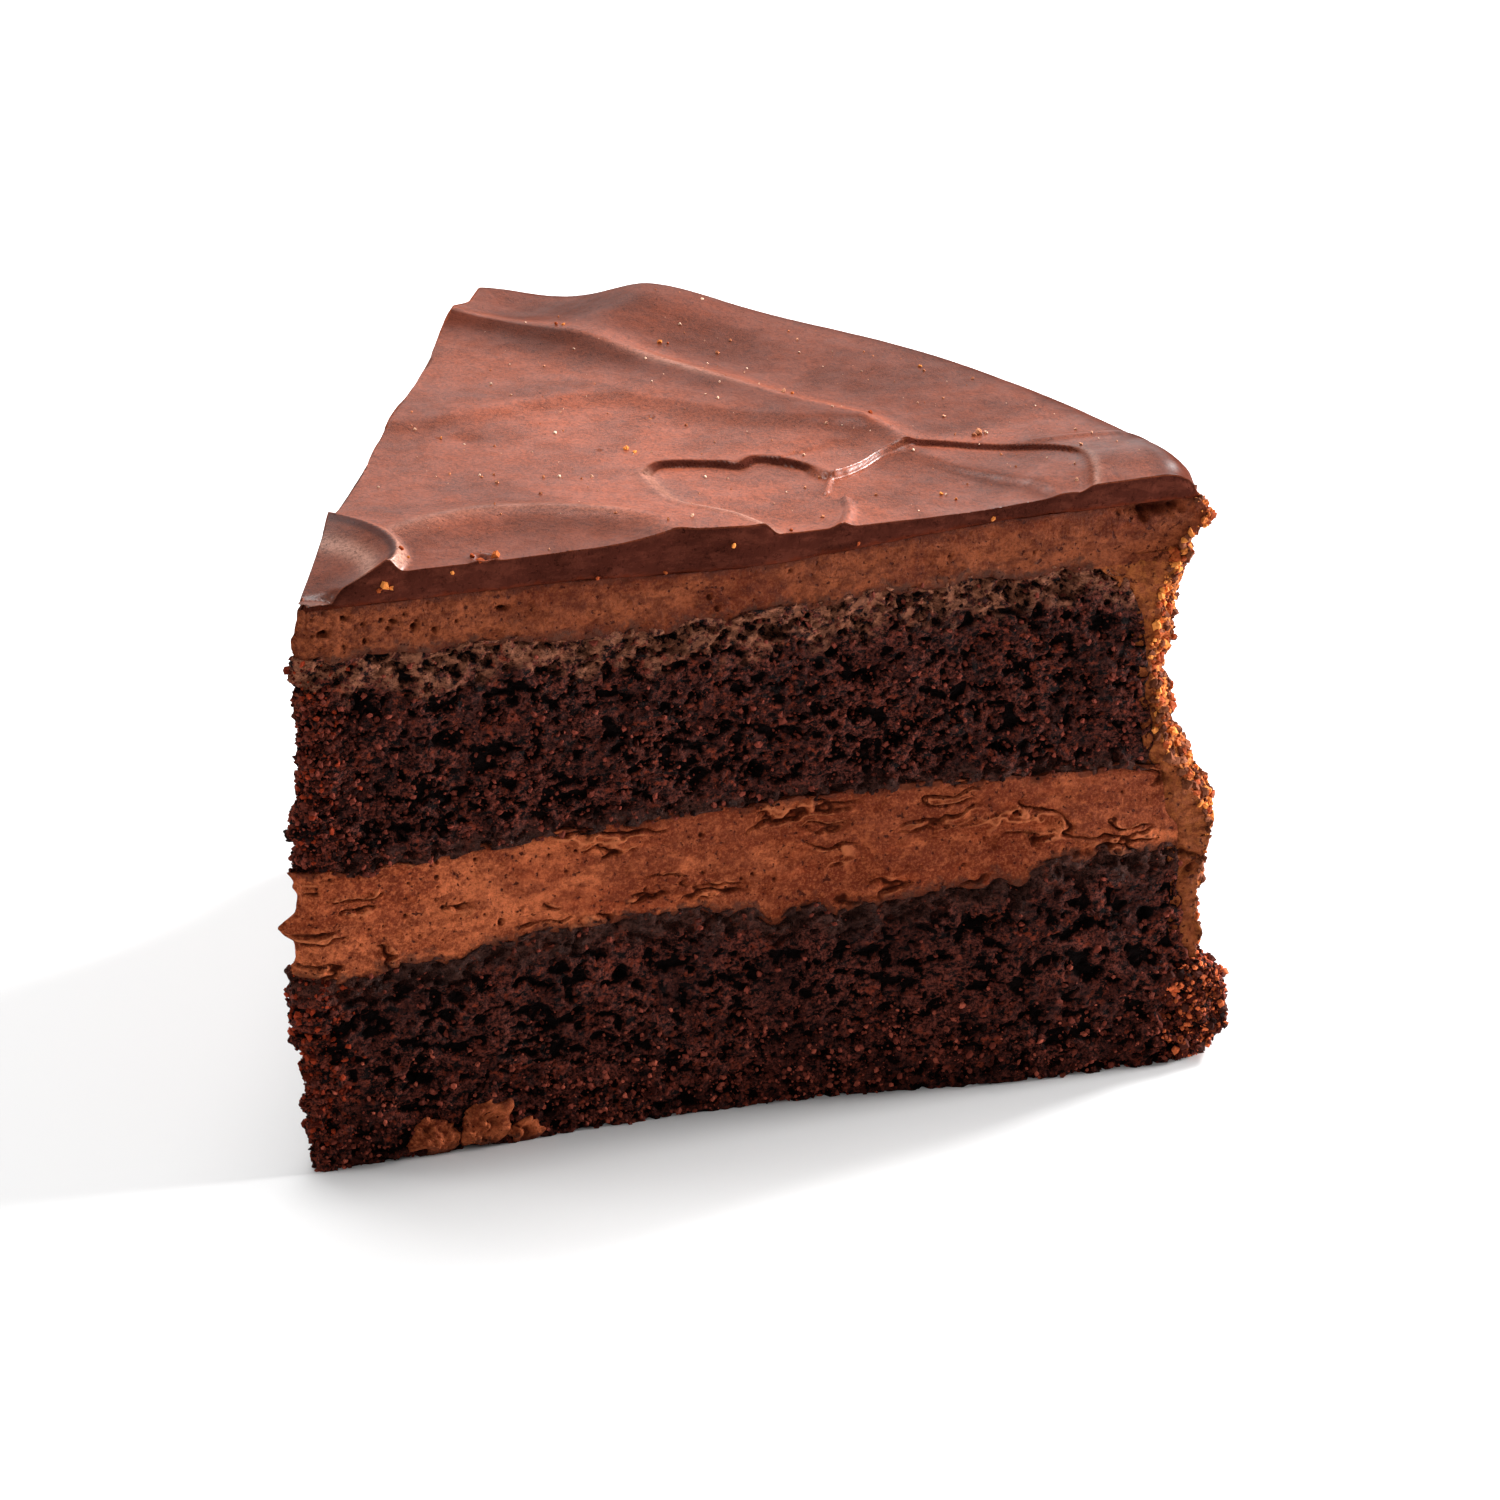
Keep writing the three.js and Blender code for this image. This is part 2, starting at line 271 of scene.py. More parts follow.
def stand(layer, share, turn, height):
    # Place of a share of the radius and a share of the angle: frayed by noise at the end of a cut, pushed out
    # by the layer's relief, which also gives a mark for the finish, and swollen and ragged beside the point.
    r, _ = polar(share, turn)
    angle = turn * (cake["angle"] - layer.get("setIn", 0) / cake["radius"] * ease(r, *cake["setInFrom"]))
    r = r + (rimAt(layer, height, angle) - cake["radius"]) * ease(share, 0.8, 1)
    fray = layer.get("fray", 0) * roughness(packed(2 * angle, 2 * turn, height), 2.6, 3, 30)
    r = r + fray * ease(share, 0.95, 1)
    places = leanOut(r, angle, turn, height)

    onFront, onSecond, onRim = sides(share, turn)
    onPoint = (share <= 0) * (1 - onFront) * (1 - onSecond)
    amount, mark = layer["relief"](places, r, onRim)
    places = pushOut(places, angle, amount, onFront, onSecond, onRim, onPoint)
    swell, more = cake["bulge"]
    bulge = (swell + more * bell(height - 27, 12)) * ease(-height, -74, -68) * bell(r, 26)
    spikes = sum(reach * bell(height - at, width) for at, reach, width in cake["spikes"])
    spikes = spikes + cake["ragged"] * roughness(places, 2.2, 3, 33) * ease(-height, -73, -70)
    bulge = (bulge + spikes * bell(r, 3.5)) * np.maximum(onSecond, onPoint)
    places[..., 0] -= math.sin(cake["angle"]) * bulge
    places[..., 1] += math.cos(cake["angle"]) * bulge
    return places, mark


def wayRound(front, rim, second):
    # Shares and turns round a slice: out along the front cut, round the rim, back, and round the point.
    tip = cake["pointSteps"] + 1
    share = joined(steps(0, 1, front), np.ones(rim), steps(1, 0, second), np.zeros(tip))
    return share, joined(np.zeros(front), steps(0, 1, rim), np.ones(second), np.linspace(1, 0, tip))


def facing(faces, flipped):
    # The same faces, turned inside out where flipped.
    return faces[:, ::-1] if flipped else faces


def gridFaces(rows, columns, first=0, flipped=False):
    # Two triangles for each cell of a grid of rows by columns of points.
    a = (first + np.arange(rows - 1)[:, None] * columns + np.arange(columns - 1)).ravel()
    b, c, d = a + 1, a + columns + 1, a + columns
    return facing(joined(packed(a, b, c), packed(a, c, d)), flipped)


def lidFaces(ring, flipped=False):
    # Closes a ring of points by a zigzag from its start and its end inwards.
    half = len(ring) // 2
    low, high = ring[:half], ring[::-1][:half]
    faces = joined(packed(low[:-1], low[1:], high[:-1]), packed(low[1:], high[1:], high[:-1]))
    if len(ring) % 2:
        faces = joined(faces, [ring[half - 1:half + 2]])
    return facing(faces, flipped)


def ladderFaces(many, few, flipped=False):
    # Joins a line of many points to one of few: each span of the long line goes to its nearest few point,
    # and each span of the short line closes where that point changes.
    match = np.rint(np.arange(len(many)) * (len(few) - 1) / (len(many) - 1)).astype(int)
    change = np.flatnonzero(np.diff(match)) + 1
    long = packed(many[:-1], many[1:], few[match[:-1]])
    short = packed(many[change], few[match[change]], few[match[change] - 1])
    return facing(joined(long, short), flipped)


def placed(name, data):
    # A new object in the scene.
    thing = bpy.data.objects.new(name, data)
    bpy.context.collection.objects.link(thing)
    return thing


def makePiece(name, points, faces, material, nodes, marks, smooth=True):
    # Welds points that coincide, drops empty triangles, moves the slice to its place and fills a mesh.
    points = points.reshape(-1, 3)
    _, keep, index = np.unique(np.round(points, 4), axis=0, return_index=True, return_inverse=True)
    faces = index.reshape(-1)[faces]
    full = (faces != np.roll(faces, 1, axis=1)).all(axis=1)
    smooth = np.broadcast_to(smooth, full.shape)[full]
    faces = faces[full]
    places = (points[keep] + np.array([*cake["pointAt"], 0])) * mm
    mesh = bpy.data.meshes.new(name)
    mesh.vertices.add(len(places))
    mesh.vertices.foreach_set("co", places.astype(np.float32).ravel())
    mesh.loops.add(faces.size)
    mesh.loops.foreach_set("vertex_index", faces.astype(np.int32).ravel())
    mesh.polygons.add(len(faces))
    mesh.polygons.foreach_set("loop_start", np.arange(0, faces.size, 3, dtype=np.int32))
    mesh.polygons.foreach_set("use_smooth", smooth)
    for mark, values in marks.items():
        layer = mesh.attributes.new(mark, "FLOAT", "POINT")
        layer.data.foreach_set("value", values.reshape(-1)[keep].astype(np.float32))
    mesh.update(calc_edges=True)
    mesh.validate()
    mesh.materials.append(material)
    piece = placed(name, mesh)
    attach(piece, "root")
    if nodes:
        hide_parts(*nodes)
    print(f"made {name}: {len(faces)} triangles")


def buildLayer(name, layer, material, node):
    # A layer's wall is a grid of heights by places round the slice; two lids close it.
    rise = np.linspace(0, 1, layer["rows"])[:, None]
    share, turn, rise = np.broadcast_arrays(*wayRound(*layer["columns"]), rise)
    r, angle = polar(share, turn)
    floor, top = layer["floor"](r, angle), layer["top"](r, angle)
    height = between(floor, top, rise)
    points, mark = stand(layer, share, turn, height)
    rows, columns = share.shape
    wall, ring = gridFaces(rows, columns), np.arange(columns - 1)
    faces = joined(wall, lidFaces(ring, True), lidFaces(ring + (rows - 1) * columns))
    smooth = np.arange(len(faces)) < len(wall)
    seam = ease(r, 101.5, 105) * (layer is frostingTop)       # no line shows where the coat goes on
    # painted shade on the rim, away from the front cut
    outer = (share >= 1) * (1 - bell(points[..., 1], coat["cleanEdge"]))
    fromFloor = height - floor + lines["farOff"] * seam
    marks = {"hollow": mark, "fromFloor": fromFloor, "fromTop": top - height, "outer": outer}
    makePiece(name, points, faces, material, (node,), marks, smooth)
    return points


class Wire:
    # A node's socket that takes part in sums: each operator adds one Math node.
    def __init__(self, finish, socket):
        self.finish = finish
        self.socket = socket

    def __add__(self, other):
        return self.finish.sum("ADD", self, other)

    def __sub__(self, other):
        return self.finish.sum("SUBTRACT", self, other)

    def __rsub__(self, other):
        return self.finish.sum("SUBTRACT", other, self)

    def __mul__(self, other):
        return self.finish.sum("MULTIPLY", self, other)

    __radd__ = __add__
    __rmul__ = __mul__


class Finish:
    # One material: a Principled shader, the nodes that feed it and the colours laid on so far.
    def __init__(self, name, base=None, **constants):
        self.base = base
        self.material = bpy.data.materials.new(name)
        self.material.use_nodes = True
        self.tree = self.material.node_tree
        self.tree.nodes.clear()
        self.shader = self.add("ShaderNodeBsdfPrincipled", sockets=constants)
        self.add("ShaderNodeOutputMaterial", sockets={"Surface": Wire(self, self.shader.outputs[0])})
        spot = self.add("ShaderNodeTexCoord").outputs["Object"]
        scaled = self.add("ShaderNodeMapping", sockets={"Vector": Wire(self, spot), "Scale": (1 / mm,) * 3})
        self.place = Wire(self, scaled.outputs[0])

    def add(self, kind, settings=None, sockets=None):
        # Any node: its settings first, then the values or links of its sockets.
        node = self.tree.nodes.new(kind)
        for name, value in (settings or {}).items():
            setattr(node, name, value)
        for name, value in (sockets or {}).items():
            socket = node.inputs[name]
            if isinstance(value, Wire):
                self.tree.links.new(value.socket, socket)
            elif socket.type == "RGBA":
                socket.default_value = (*value, 1)
            else:
                socket.default_value = value
        return node

    def sum(self, operation, first, second):
        # One Math node.
        return Wire(self, self.add("ShaderNodeMath", {"operation": operation}, {0: first, 1: second}).outputs[0])

    def noise(self, size, detail, rough, place=None):
        # Cloudy pattern whose patches are about size millimetres across.
        node = self.add("ShaderNodeTexNoise", None, {
            "Vector": place or self.place, "Scale": 1 / size, "Detail": detail, "Roughness": rough,
        })
        return Wire(self, node.outputs["Fac"])

    def along(self, low, high, *ends):
        # Smooth step along X.
        node = self.add("ShaderNodeSeparateXYZ", None, {"Vector": self.place})
        return self.limits(Wire(self, node.outputs["X"]), low, high, *ends)

    def stretched(self, x, y, z):
        # The place with each axis scaled, for streaks.
        return Wire(self, self.add("ShaderNodeMapping", None, {"Vector": self.place, "Scale": (x, y, z)}).outputs[0])

    def mark(self, name):
        # A value stored on the piece's points.
        return Wire(self, self.add("ShaderNodeAttribute", {"attribute_name": name}).outputs["Fac"])

    def limits(self, value, low, high, first=0.0, last=1.0):
        # Smooth step of a value from first at low to last at high.
        node = self.add("ShaderNodeMapRange", {"interpolation_type": "SMOOTHSTEP"}, {
            "Value": value, "From Min": low, "From Max": high, "To Min": first, "To Max": last,
        })
        return Wire(self, node.outputs["Result"])

    def clouds(self, kind, *limits):
        # Smooth step of a cloudy pattern.
        return self.limits(self.noise(*kind), *limits)

    def lay(self, *coats):
        # Colours over those laid so far, each by a share.
        for share, colour in coats:
            node = self.add("ShaderNodeMix", {"data_type": "RGBA"}, {0: share, 6: self.base, 7: colour})
            self.base = Wire(self, node.outputs[2])

    def feed(self, socket, value):
        # Links a value to the shader.
        self.tree.links.new(value.socket, self.shader.inputs[socket])

    def done(self, height, depth):
        # Feeds the colours, and a small relief of a height from 0 to 1 and a depth in millimetres.
        self.feed("Base Color", self.base)
        node = self.add("ShaderNodeBump", None, {"Height": height, "Distance": depth * mm, "Strength": 1.0})
        self.feed("Normal", Wire(self, node.outputs[0]))
        return self.material


sponge = {
    "poreSize": 0.95,
    "poreDepth": 0.8,
    "flatter": 1.55,          # pores are this much wider than tall
    "holes": (4.2, 0.3, 1.1),             # spacing, share of the cubes with one, depth
    "swell": 0.4,             # slow ups and downs of the cut
    "torn": (                 # bigger holes in the front cut: distance along it, height and reach
        (50.1, 45.8, 0.9), (57.9, 45.4, 0.7), (42.5, 51.5, 0.8), (97.9, 63.9, 0.9), (102.7, 59.3, 1.1),
        (18.6, 54.8, 1.2), (8.0, 61.5, 1.0), (12.0, 44.0, 0.8), (100.6, 13.4, 1.1), (93.0, 9.0, 0.7),
        (78.0, 17.0, 0.6), (55.0, 12.0, 0.7), (108.6, 20.2, 0.7), (86.0, 21.5, 0.7), (30.0, 15.0, 0.9),
        (14.0, 10.5, 1.0), (66.0, 6.0, 0.6), (40.0, 20.5, 0.7), (72.0, 56.0, 0.7), (88.0, 52.5, 0.7),
    ),
    "pointCrags": 1.2,
    "footCrags": 1.3,
    # near black for the painted shade in pores and holes
    "dark": (0.004, 0.0006, 0.0004),
    "deep": (0.033, 0.0078, 0.0060),
    "body": (0.205, 0.046, 0.030),
    "warm": (0.36, 0.056, 0.023),
    "dampAndSheen": (0.062, 0.028, 0.020),        # packed crumb beside the cream, greyed as a painted sheen
    "smear": (0.430, 0.155, 0.082),       # cream rubbed over the crumb
}


def spongeRelief(places, r, onRim=0):
    # Pores where a bent, flattened noise of three sizes is low, holes and slow swells, and crags near the
    # point and on the foot. The pores are the mark.
    height = places[..., 2]
    flat = flattened(bent(places, 1.7, 0.5, 40), sponge["flatter"])
    size = sponge["poreSize"]
    field = noise(flat, size, 50) + 0.55 * noise(flat, size * 0.52, 51) + 0.3 * noise(flat, size * 0.3, 52)
    pores = ease(-field, 0.1, 0.55)
    spacing, share, depth = sponge["holes"]
    holes = bowls(flat, spacing, share, 60, 0.12, 0.3) ** 0.6
    lumps = 0.28 * noise(places, 0.9, 80) + sponge["swell"] * noise(places, 5, 82)
    crags = np.clip(roughness(places, 3.4, 3, 90), -0.3, 1)
    near = sponge["pointCrags"] * bell(r, 9) * ease(-height, -58, -44)
    foot = sponge["footCrags"] * ease(-height, -13, -8) * ease(r, 96, 110)
    bare = 1 - onRim * ease(height, 11.5, 13)
    broken = 0.3 * lumps + 0.5 * noise(flat, 0.7, 84)
    torn = sum(
        bell(np.hypot((places[..., 0] - x) / 1.4, height - z) + broken, reach) for x, z, reach in sponge["torn"]
    ) * (places[..., 1] < 3)
    amount = lumps - sponge["poreDepth"] * pores - depth * holes + crags * (near + foot) - 1.6 * torn
    return amount * bare, np.maximum(np.maximum(pores, holes), 1.5 * torn) * bare


def plainRim(relief):
    # The same relief times 0 on the rim, which the coat hides.
    return lambda places, r, onRim: [part * (1 - onRim) for part in relief(places, r)]


lowerSponge = {
    "columns": (430, 170, 430),
    "rows": 94,
    "side": ((0, 117.6), (4, 120.8), (8, 120.6), (11, 119), (13.2, 114.5), (18, 112.6), (22, 113), (28, 112.6)),
    "corner": ((0, 4.6), (2.5, 2.8), (5, 2.0), (10, 1.6), (13.2, 0.0)),
    "fray": 0.7,
    "relief": spongeRelief,
    "floor": lambda r, angle: np.zeros_like(r),
    "top": lambda r, angle: fillingFloor(r, angle) + lines["overlap"],
}
upperSponge = {
    "columns": (460, 30, 460),
    "rows": 100,
    "side": ((38, 109.4), (50, 108.7), (57, 108.0), (61, 107.2), (64, 106.0), (66.4, 103.4)),
    "fray": 0.7,
    "corner": ((38, 0.0), (66, 0.0)),
    "relief": plainRim(spongeRelief),
    "floor": lambda r, angle: fillingTop(r, angle) - lines["overlap"],
    "top": lambda r, angle: frostingFloor(r, angle) + lines["overlap"],
}


def spongeFinish(name, smeared):
    # Brown crumb with warm specks, near black in its pores as painted shade, damp beside the cream with a grey
    # painted sheen, warmer towards both ends as painted rim light, and rubbed with cream for a few millimetres below
    # its top where smeared.
    finish = Finish(name, sponge["deep"], **{"Specular IOR Level": 0.08})
    web, grain = finish.noise(0.7, 4, 0.65, finish.stretched(0.65, 0.65, 1)), finish.noise(0.4, 4, 0.7)
    fine = finish.limits(web, 0.41, 0.465, 1, 0)
    # painted shade: the pores and holes from the mark, and the gaps of a fine web
    hollow = finish.sum("MAXIMUM", finish.limits(finish.mark("hollow"), 0.2, 0.6), fine)
    # painted rim light: warmer towards the point and towards the rim's end of the cut
    ends = finish.along(-59, -54, 1, 0) + finish.along(48, 56)
    warm = finish.clouds((0.9, 3, 0.6), 0.52, 0.66) * finish.clouds((6, 2, 0.5), 0.38, 0.62)
    finish.lay(
        (finish.limits(grain, 0.43, 0.58) * finish.clouds((7, 3, 0.6), 0.38, 0.58, 0.35, 1.0), sponge["body"]),
        (warm * 0.7 + ends * finish.limits(grain, 0.4, 0.6) * 0.45, sponge["warm"]),
    )
    wander = finish.noise(3, 3, 0.6) * 5 - 2.5
    if smeared:
        edge = finish.limits(finish.mark("fromFloor") + wander, 0.6, 3.2, 1, 0)
        level = finish.mark("fromTop") + finish.noise(4.5, 3, 0.6) * 14 - 7
        rubbed = finish.limits(level, 2.5, 6.5, 1, 0) * finish.clouds((1.2, 4, 0.65), 0.42, 0.54)
        finish.lay((rubbed * 0.85, sponge["smear"]))
        hollow = hollow * (1 - rubbed * 0.75)
    else:
        edge = finish.limits(finish.mark("fromTop") + wander, 1.6, 5.4, 1, 0)
    finish.lay(
        # damp crumb beside the cream; its grey is a painted sheen
        (edge * finish.limits(grain, 0.3, 0.6) * 0.8, sponge["dampAndSheen"]),
        # painted shade: pores and holes near black, less beside the cream
        (hollow * (1 - edge * 0.75), sponge["dark"]),
    )
    finish.feed("Roughness", 0.72 - edge * finish.clouds((0.5, 2, 0.5), 0.5, 0.65) * 0.42)
    return finish.done(finish.limits(web, 0.36, 0.56) + grain, 0.7)


cream = {
    "body": (0.300, 0.053, 0.016),
    "light": (0.58, 0.142, 0.051),
    "lip": (0.66, 0.185, 0.070),          # lit edges of the torn streaks
    "ruddy": (0.170, 0.029, 0.0095),
    "torn": (0.78, 0.235, 0.054),         # the coat's torn edge beside the front cut, lightened as painted rim light
    "outer": (0.070, 0.0205, 0.0100),     # painted shade: the coat all round the rim, darker to offset the strong lights behind
    "crumby": (0.075, 0.030, 0.019),      # dust of the sponge on the cream
    "deep": (0.130, 0.018, 0.005),
    # dark colour for the painted shade in holes and pits
    "hole": (0.055, 0.008, 0.0025),
    "edge": (0.078, 0.016, 0.0075),
    "drag": 0.16,             # marks of the knife along the cut
    "tears": 0.8,             # depth of the torn streaks in the filling
}


def creamRelief(places, r):
    # Level drag of the knife, small round holes, closer near the point, and in the filling torn streaks where
    # a stretched noise crosses zero. Holes and streaks are the mark, and the streaks' raised lips are below
    # zero in it.
    height, level = places[..., 2], flattened(places, 3.2)
    drag = cream["drag"] * (noise(level, 1.3, 101) + 0.8 * noise(level, 2.9, 102) + 0.3 * noise(places, 0.7, 103))
    holes = bowls(places, 1.9, 0.3, 110, 0.1, 0.24)
    holes = np.maximum(holes, bowls(places, 1.5, 0.5, 160, 0.12, 0.27) * ease(-r, -36, -16))
    lined = flattened(bent(places, 2.0, 0.6, 118), 4.4)
    crossing = noise(lined, 1.25, 120) + 0.22 * noise(flattened(places, 1.6), 0.6, 123)
    where = ease(noise(flattened(places, 2.0), 2.6, 121), between(0.3, -0.25, ease(r, 30, 70)), 0.35)
    where = where * ease(-height, -43, -40) * ease(height, 23, 26)
    streaks = np.clip(1 - np.abs(crossing) / 0.15, 0, 1) * where
    lips = bell(crossing - 0.27, 0.1) * where
    mark = np.maximum(holes, streaks) - 0.6 * lips * (1 - holes)
    return drag - 0.45 * holes - cream["tears"] * streaks + 0.22 * lips, mark


coat = {
    "crags": 1.0,
    "foot": 13.4,
    "seam": (108.0, 1.2),     # distance whose frosting gives the top edge, and how far above it that is
    "tuck": 0.35,             # how far the top edge goes in behind the frosting
    "cleanEdge": 8.0,         # width of the rim beside the front cut that keeps the cream's colour, without the rim's painted shade
    "columns": 330,           # round the rim
    "insideColumns": 24,
    "capColumns": 34,         # across each cut end
    "rows": 190,
    "inside": (
        (13, 113.7), (18, 111.5), (22, 111.9), (28, 111.5), (31, 111.6), (34, 110), (42, 108.3), (50, 107.5),
        (57, 106.8), (61, 106), (64, 104.8), (66.4, 102.4),
    ),
    "torn": (                 # holes in the coat, then small ones in the frosting near the point: place and reach
        ((109.2, 0, 73.4), (3.2, 2.4, 1.2)), ((112.4, 0, 43.8), (1.6, 1.8, 1.6)), ((14.6, 0, 69.9), (0.4, 1.5, 0.33)),
        ((25.2, 0, 70.7), (0.5, 1.5, 0.2)), ((11.9, 0, 70.9), (0.25, 1.5, 0.25)), ((8.4, 0, 68.9), (0.25, 1.5, 0.2)),
        ((5.8, 0, 72.1), (0.35, 1.5, 0.2)), ((16.9, 0, 69.3), (0.2, 1.5, 0.2)), ((3.2, 0, 70.4), (0.5, 1.5, 0.3)),
    ),
    "tornDepth": 2.0,
}


def coatRelief(places):
    # Rough outside of the cake: lumps of four sizes, less pits. The pits are the mark.
    lumps = 0.7 * noise(places, 5.5, 130) + 0.7 * noise(places, 2.4, 131) + 0.5 * noise(places, 1.2, 132)
    pits = bowls(bent(places, 1.5, 0.4, 136), 2.6, 0.6, 140)
    return coat["crags"] * lumps - 1.1 * pits + 0.35 * noise(places, 0.6, 145), pits


def frostingRelief(places, r, onRim):
    # Drag of the knife on the cuts and the coat's crags on the rim, less a bell for each torn hole.
    cut, hollow = creamRelief(places, r)
    rough, pits = coatRelief(places)
    wandered = bent(places, 0.9, 0.22, 148)
    torn = sum(
        bell(np.linalg.norm((wandered - np.array(at)) / np.array(reach), axis=-1), 1) for at, reach in coat["torn"]
    )
    torn = torn * (0.8 + bowls(places, 1.5, 0.9, 147, 0.3, 0.6))
    return between(cut, rough, onRim) - coat["tornDepth"] * torn, np.maximum(between(hollow, pits, onRim), torn)


filling = {
    "columns": (560, 20, 560),
    "rows": 84,
    "side": ((31, 112.7), (34, 111), (42, 110.2)),
    "corner": ((31, 0.0), (42, 0.0)),
    "relief": plainRim(creamRelief),
    "floor": fillingFloor,
    "top": fillingTop,
}
frostingTop = {
    "columns": (560, 220, 560),
    "rows": 34,
    "side": coatSide,
    "corner": coatCorner,
    "relief": frostingRelief,
    "floor": frostingFloor,
    "top": ganacheFloor,
}


def buildCoat(material):
    # Rings round the coat, across the front end, round the outside, across the far end and back inside;
    # ladders close the ring's top and foot.
    ends, around, inside = coat["capColumns"], coat["columns"], coat["insideColumns"]
    even = steps(0, 1, around)
    crowded = even - 0.09 * np.sin(2 * np.pi * even)        # closer columns beside the cuts
    outward, turn, rise = np.broadcast_arrays(
        joined(steps(0, 1, ends), np.ones(around), steps(1, 0, ends), np.zeros(inside + 1)),
        joined(np.zeros(ends), crowded, np.ones(ends), np.linspace(1, 0, inside + 1)),
        np.linspace(0, 1, coat["rows"])[:, None],
    )
    angle, (seamAt, above) = turn * cake["angle"], coat["seam"]
    top = frostingFloor(np.full_like(angle, seamAt), angle) + above
    height = between(coat["foot"], top, rise)
    inner = stations(coat["inside"], height)
    rim = rimAt(frostingTop, height, angle)
    r = between(inner, np.maximum(rim, inner + 0.6), outward)
    places = leanOut(r, angle, turn, height)
    onFront, onSecond, onRim = sides(outward, turn)
    amount, mark = frostingRelief(places, r, onRim)
    amount = amount - coat["tuck"] * ease(height - top, -1.15, -0.3)
    amount = amount - (1 - onRim) * 0.45 * (1 - ease(r - inner, 0, 2.4)) * ease(-height, -66, -62)
    places = pushOut(places, angle, amount, onFront, onSecond, onRim, 0)

    rows, columns = outward.shape
    faces = [gridFaces(rows, columns)]
    for row, flipped in ((0, True), (rows - 1, False)):
        ring = row * columns + np.arange(columns)
        outer, inner = ring[ends:ends + around + 1], ring[:2 * ends + around - 1:-1]
        front, back = joined(inner[:1], ring[1:ends + 1]), joined(ring[ends + around:2 * ends + around], inner[-1:])
        frontFan = packed(front[:1].repeat(ends - 1), front[1:-1], front[2:])
        backFan = packed(back[-1:].repeat(ends - 1), back[:-2], back[1:-1])
        faces.append(facing(joined(ladderFaces(outer, inner), frontFan, backFan), flipped))
    # painted rim light: the coat's torn edge beside the front cut is marked to be lightened
    edge = np.maximum(onRim, 0.3 * onFront) * bell(places[..., 1], 5)
    # painted shade on the rim, away from the front cut
    outer = onRim * (1 - bell(places[..., 1], coat["cleanEdge"]))
    marks = {"hollow": mark * (1 - 0.5 * edge), "fromFloor": height, "fromTop": height, "edge": edge, "outer": outer}
    smooth = np.arange(sum(map(len, faces))) < len(faces[0])
    makePiece("frosting_side_coat", places, joined(*faces), material, ("frosting",), marks, smooth)
    return places


def creamFinish(name, tone, ruddy):
    # Whipped chocolate cream: soft patches, fine grain, holes dark as painted shade and faint level streaks, its
    # colours times a tone and ruddier towards the rim by a share; painted shade round the rim and painted rim light on
    # the coat's torn edge.
    body, light, deep = (tuple(tone * part for part in cream[key]) for key in ("body", "light", "deep"))
    finish = Finish(name, body, Roughness=0.65, **{"Specular IOR Level": 0.06})
    level, nearPoint = finish.stretched(0.45, 0.45, 1), finish.along(-20, -48)
    grain, clots, specks = finish.noise(0.35, 4, 0.75), finish.noise(1.3, 4, 0.65), finish.noise(0.6, 5, 0.75)
    patches = finish.noise(4, 4, 0.6, level) + finish.along(-34, -6, -0.06, 0.08)
    dust = finish.limits(finish.mark("fromFloor") + finish.noise(2.2, 4, 0.6) * 8 - 4, 0.2, 1.8, 1, 0)
    pits = finish.clouds((0.75, 2, 0.5), 0.365, 0.305)
    # painted shade: holes from the mark and small pits
    holes = finish.sum("MAXIMUM", finish.limits(finish.mark("hollow"), 0.15, 0.75), pits)
    rims = finish.sum("MINIMUM", finish.mark("fromFloor"), finish.mark("fromTop"))
    rims = rims + finish.noise(1.3, 4, 0.6) * 5 - 2.5
    finish.lay(
        (finish.clouds((7, 3, 0.6, level), 0.40, 0.58), light),
        (finish.limits(patches, 0.44, 0.58) * ruddy, cream["ruddy"]),
        (finish.clouds((1.5, 4, 0.65, level), 0.46, 0.58) * 0.6, deep),
        (finish.limits(clots, 0.48, 0.58) * 0.4, deep),
        (finish.limits(clots, 0.47, 0.38) * 0.35, light),
        (finish.limits(grain, 0.5, 0.60) * 0.35, deep),
        (finish.limits(grain, 0.5, 0.41) * 0.3, light),
        (finish.limits(specks, 0.5, 0.60) * nearPoint * 0.6, deep),
        (finish.limits(specks, 0.5, 0.40) * nearPoint * 0.5, light),
        (finish.limits(finish.mark("hollow"), -0.15, -0.6) * 0.7, cream["lip"]),
        # painted shade round the rim
        (finish.mark("outer") * 0.8, cream["outer"]),
        # painted rim light on the coat's torn edge
        (finish.mark("edge") * finish.clouds((0.9, 4, 0.6), 0.40, 0.56, 1, 0.25), cream["torn"]),
        (dust * finish.limits(clots, 0.42, 0.54) * 0.7, cream["crumby"]),
        # painted shade in holes and pits
        (holes * 0.9, cream["hole"]),
        (finish.limits(rims, 0, 0.9, 0.75, 0), cream["edge"]),
    )
    return finish.done(grain + clots * 1.5 - pits * 0.8, 0.4)


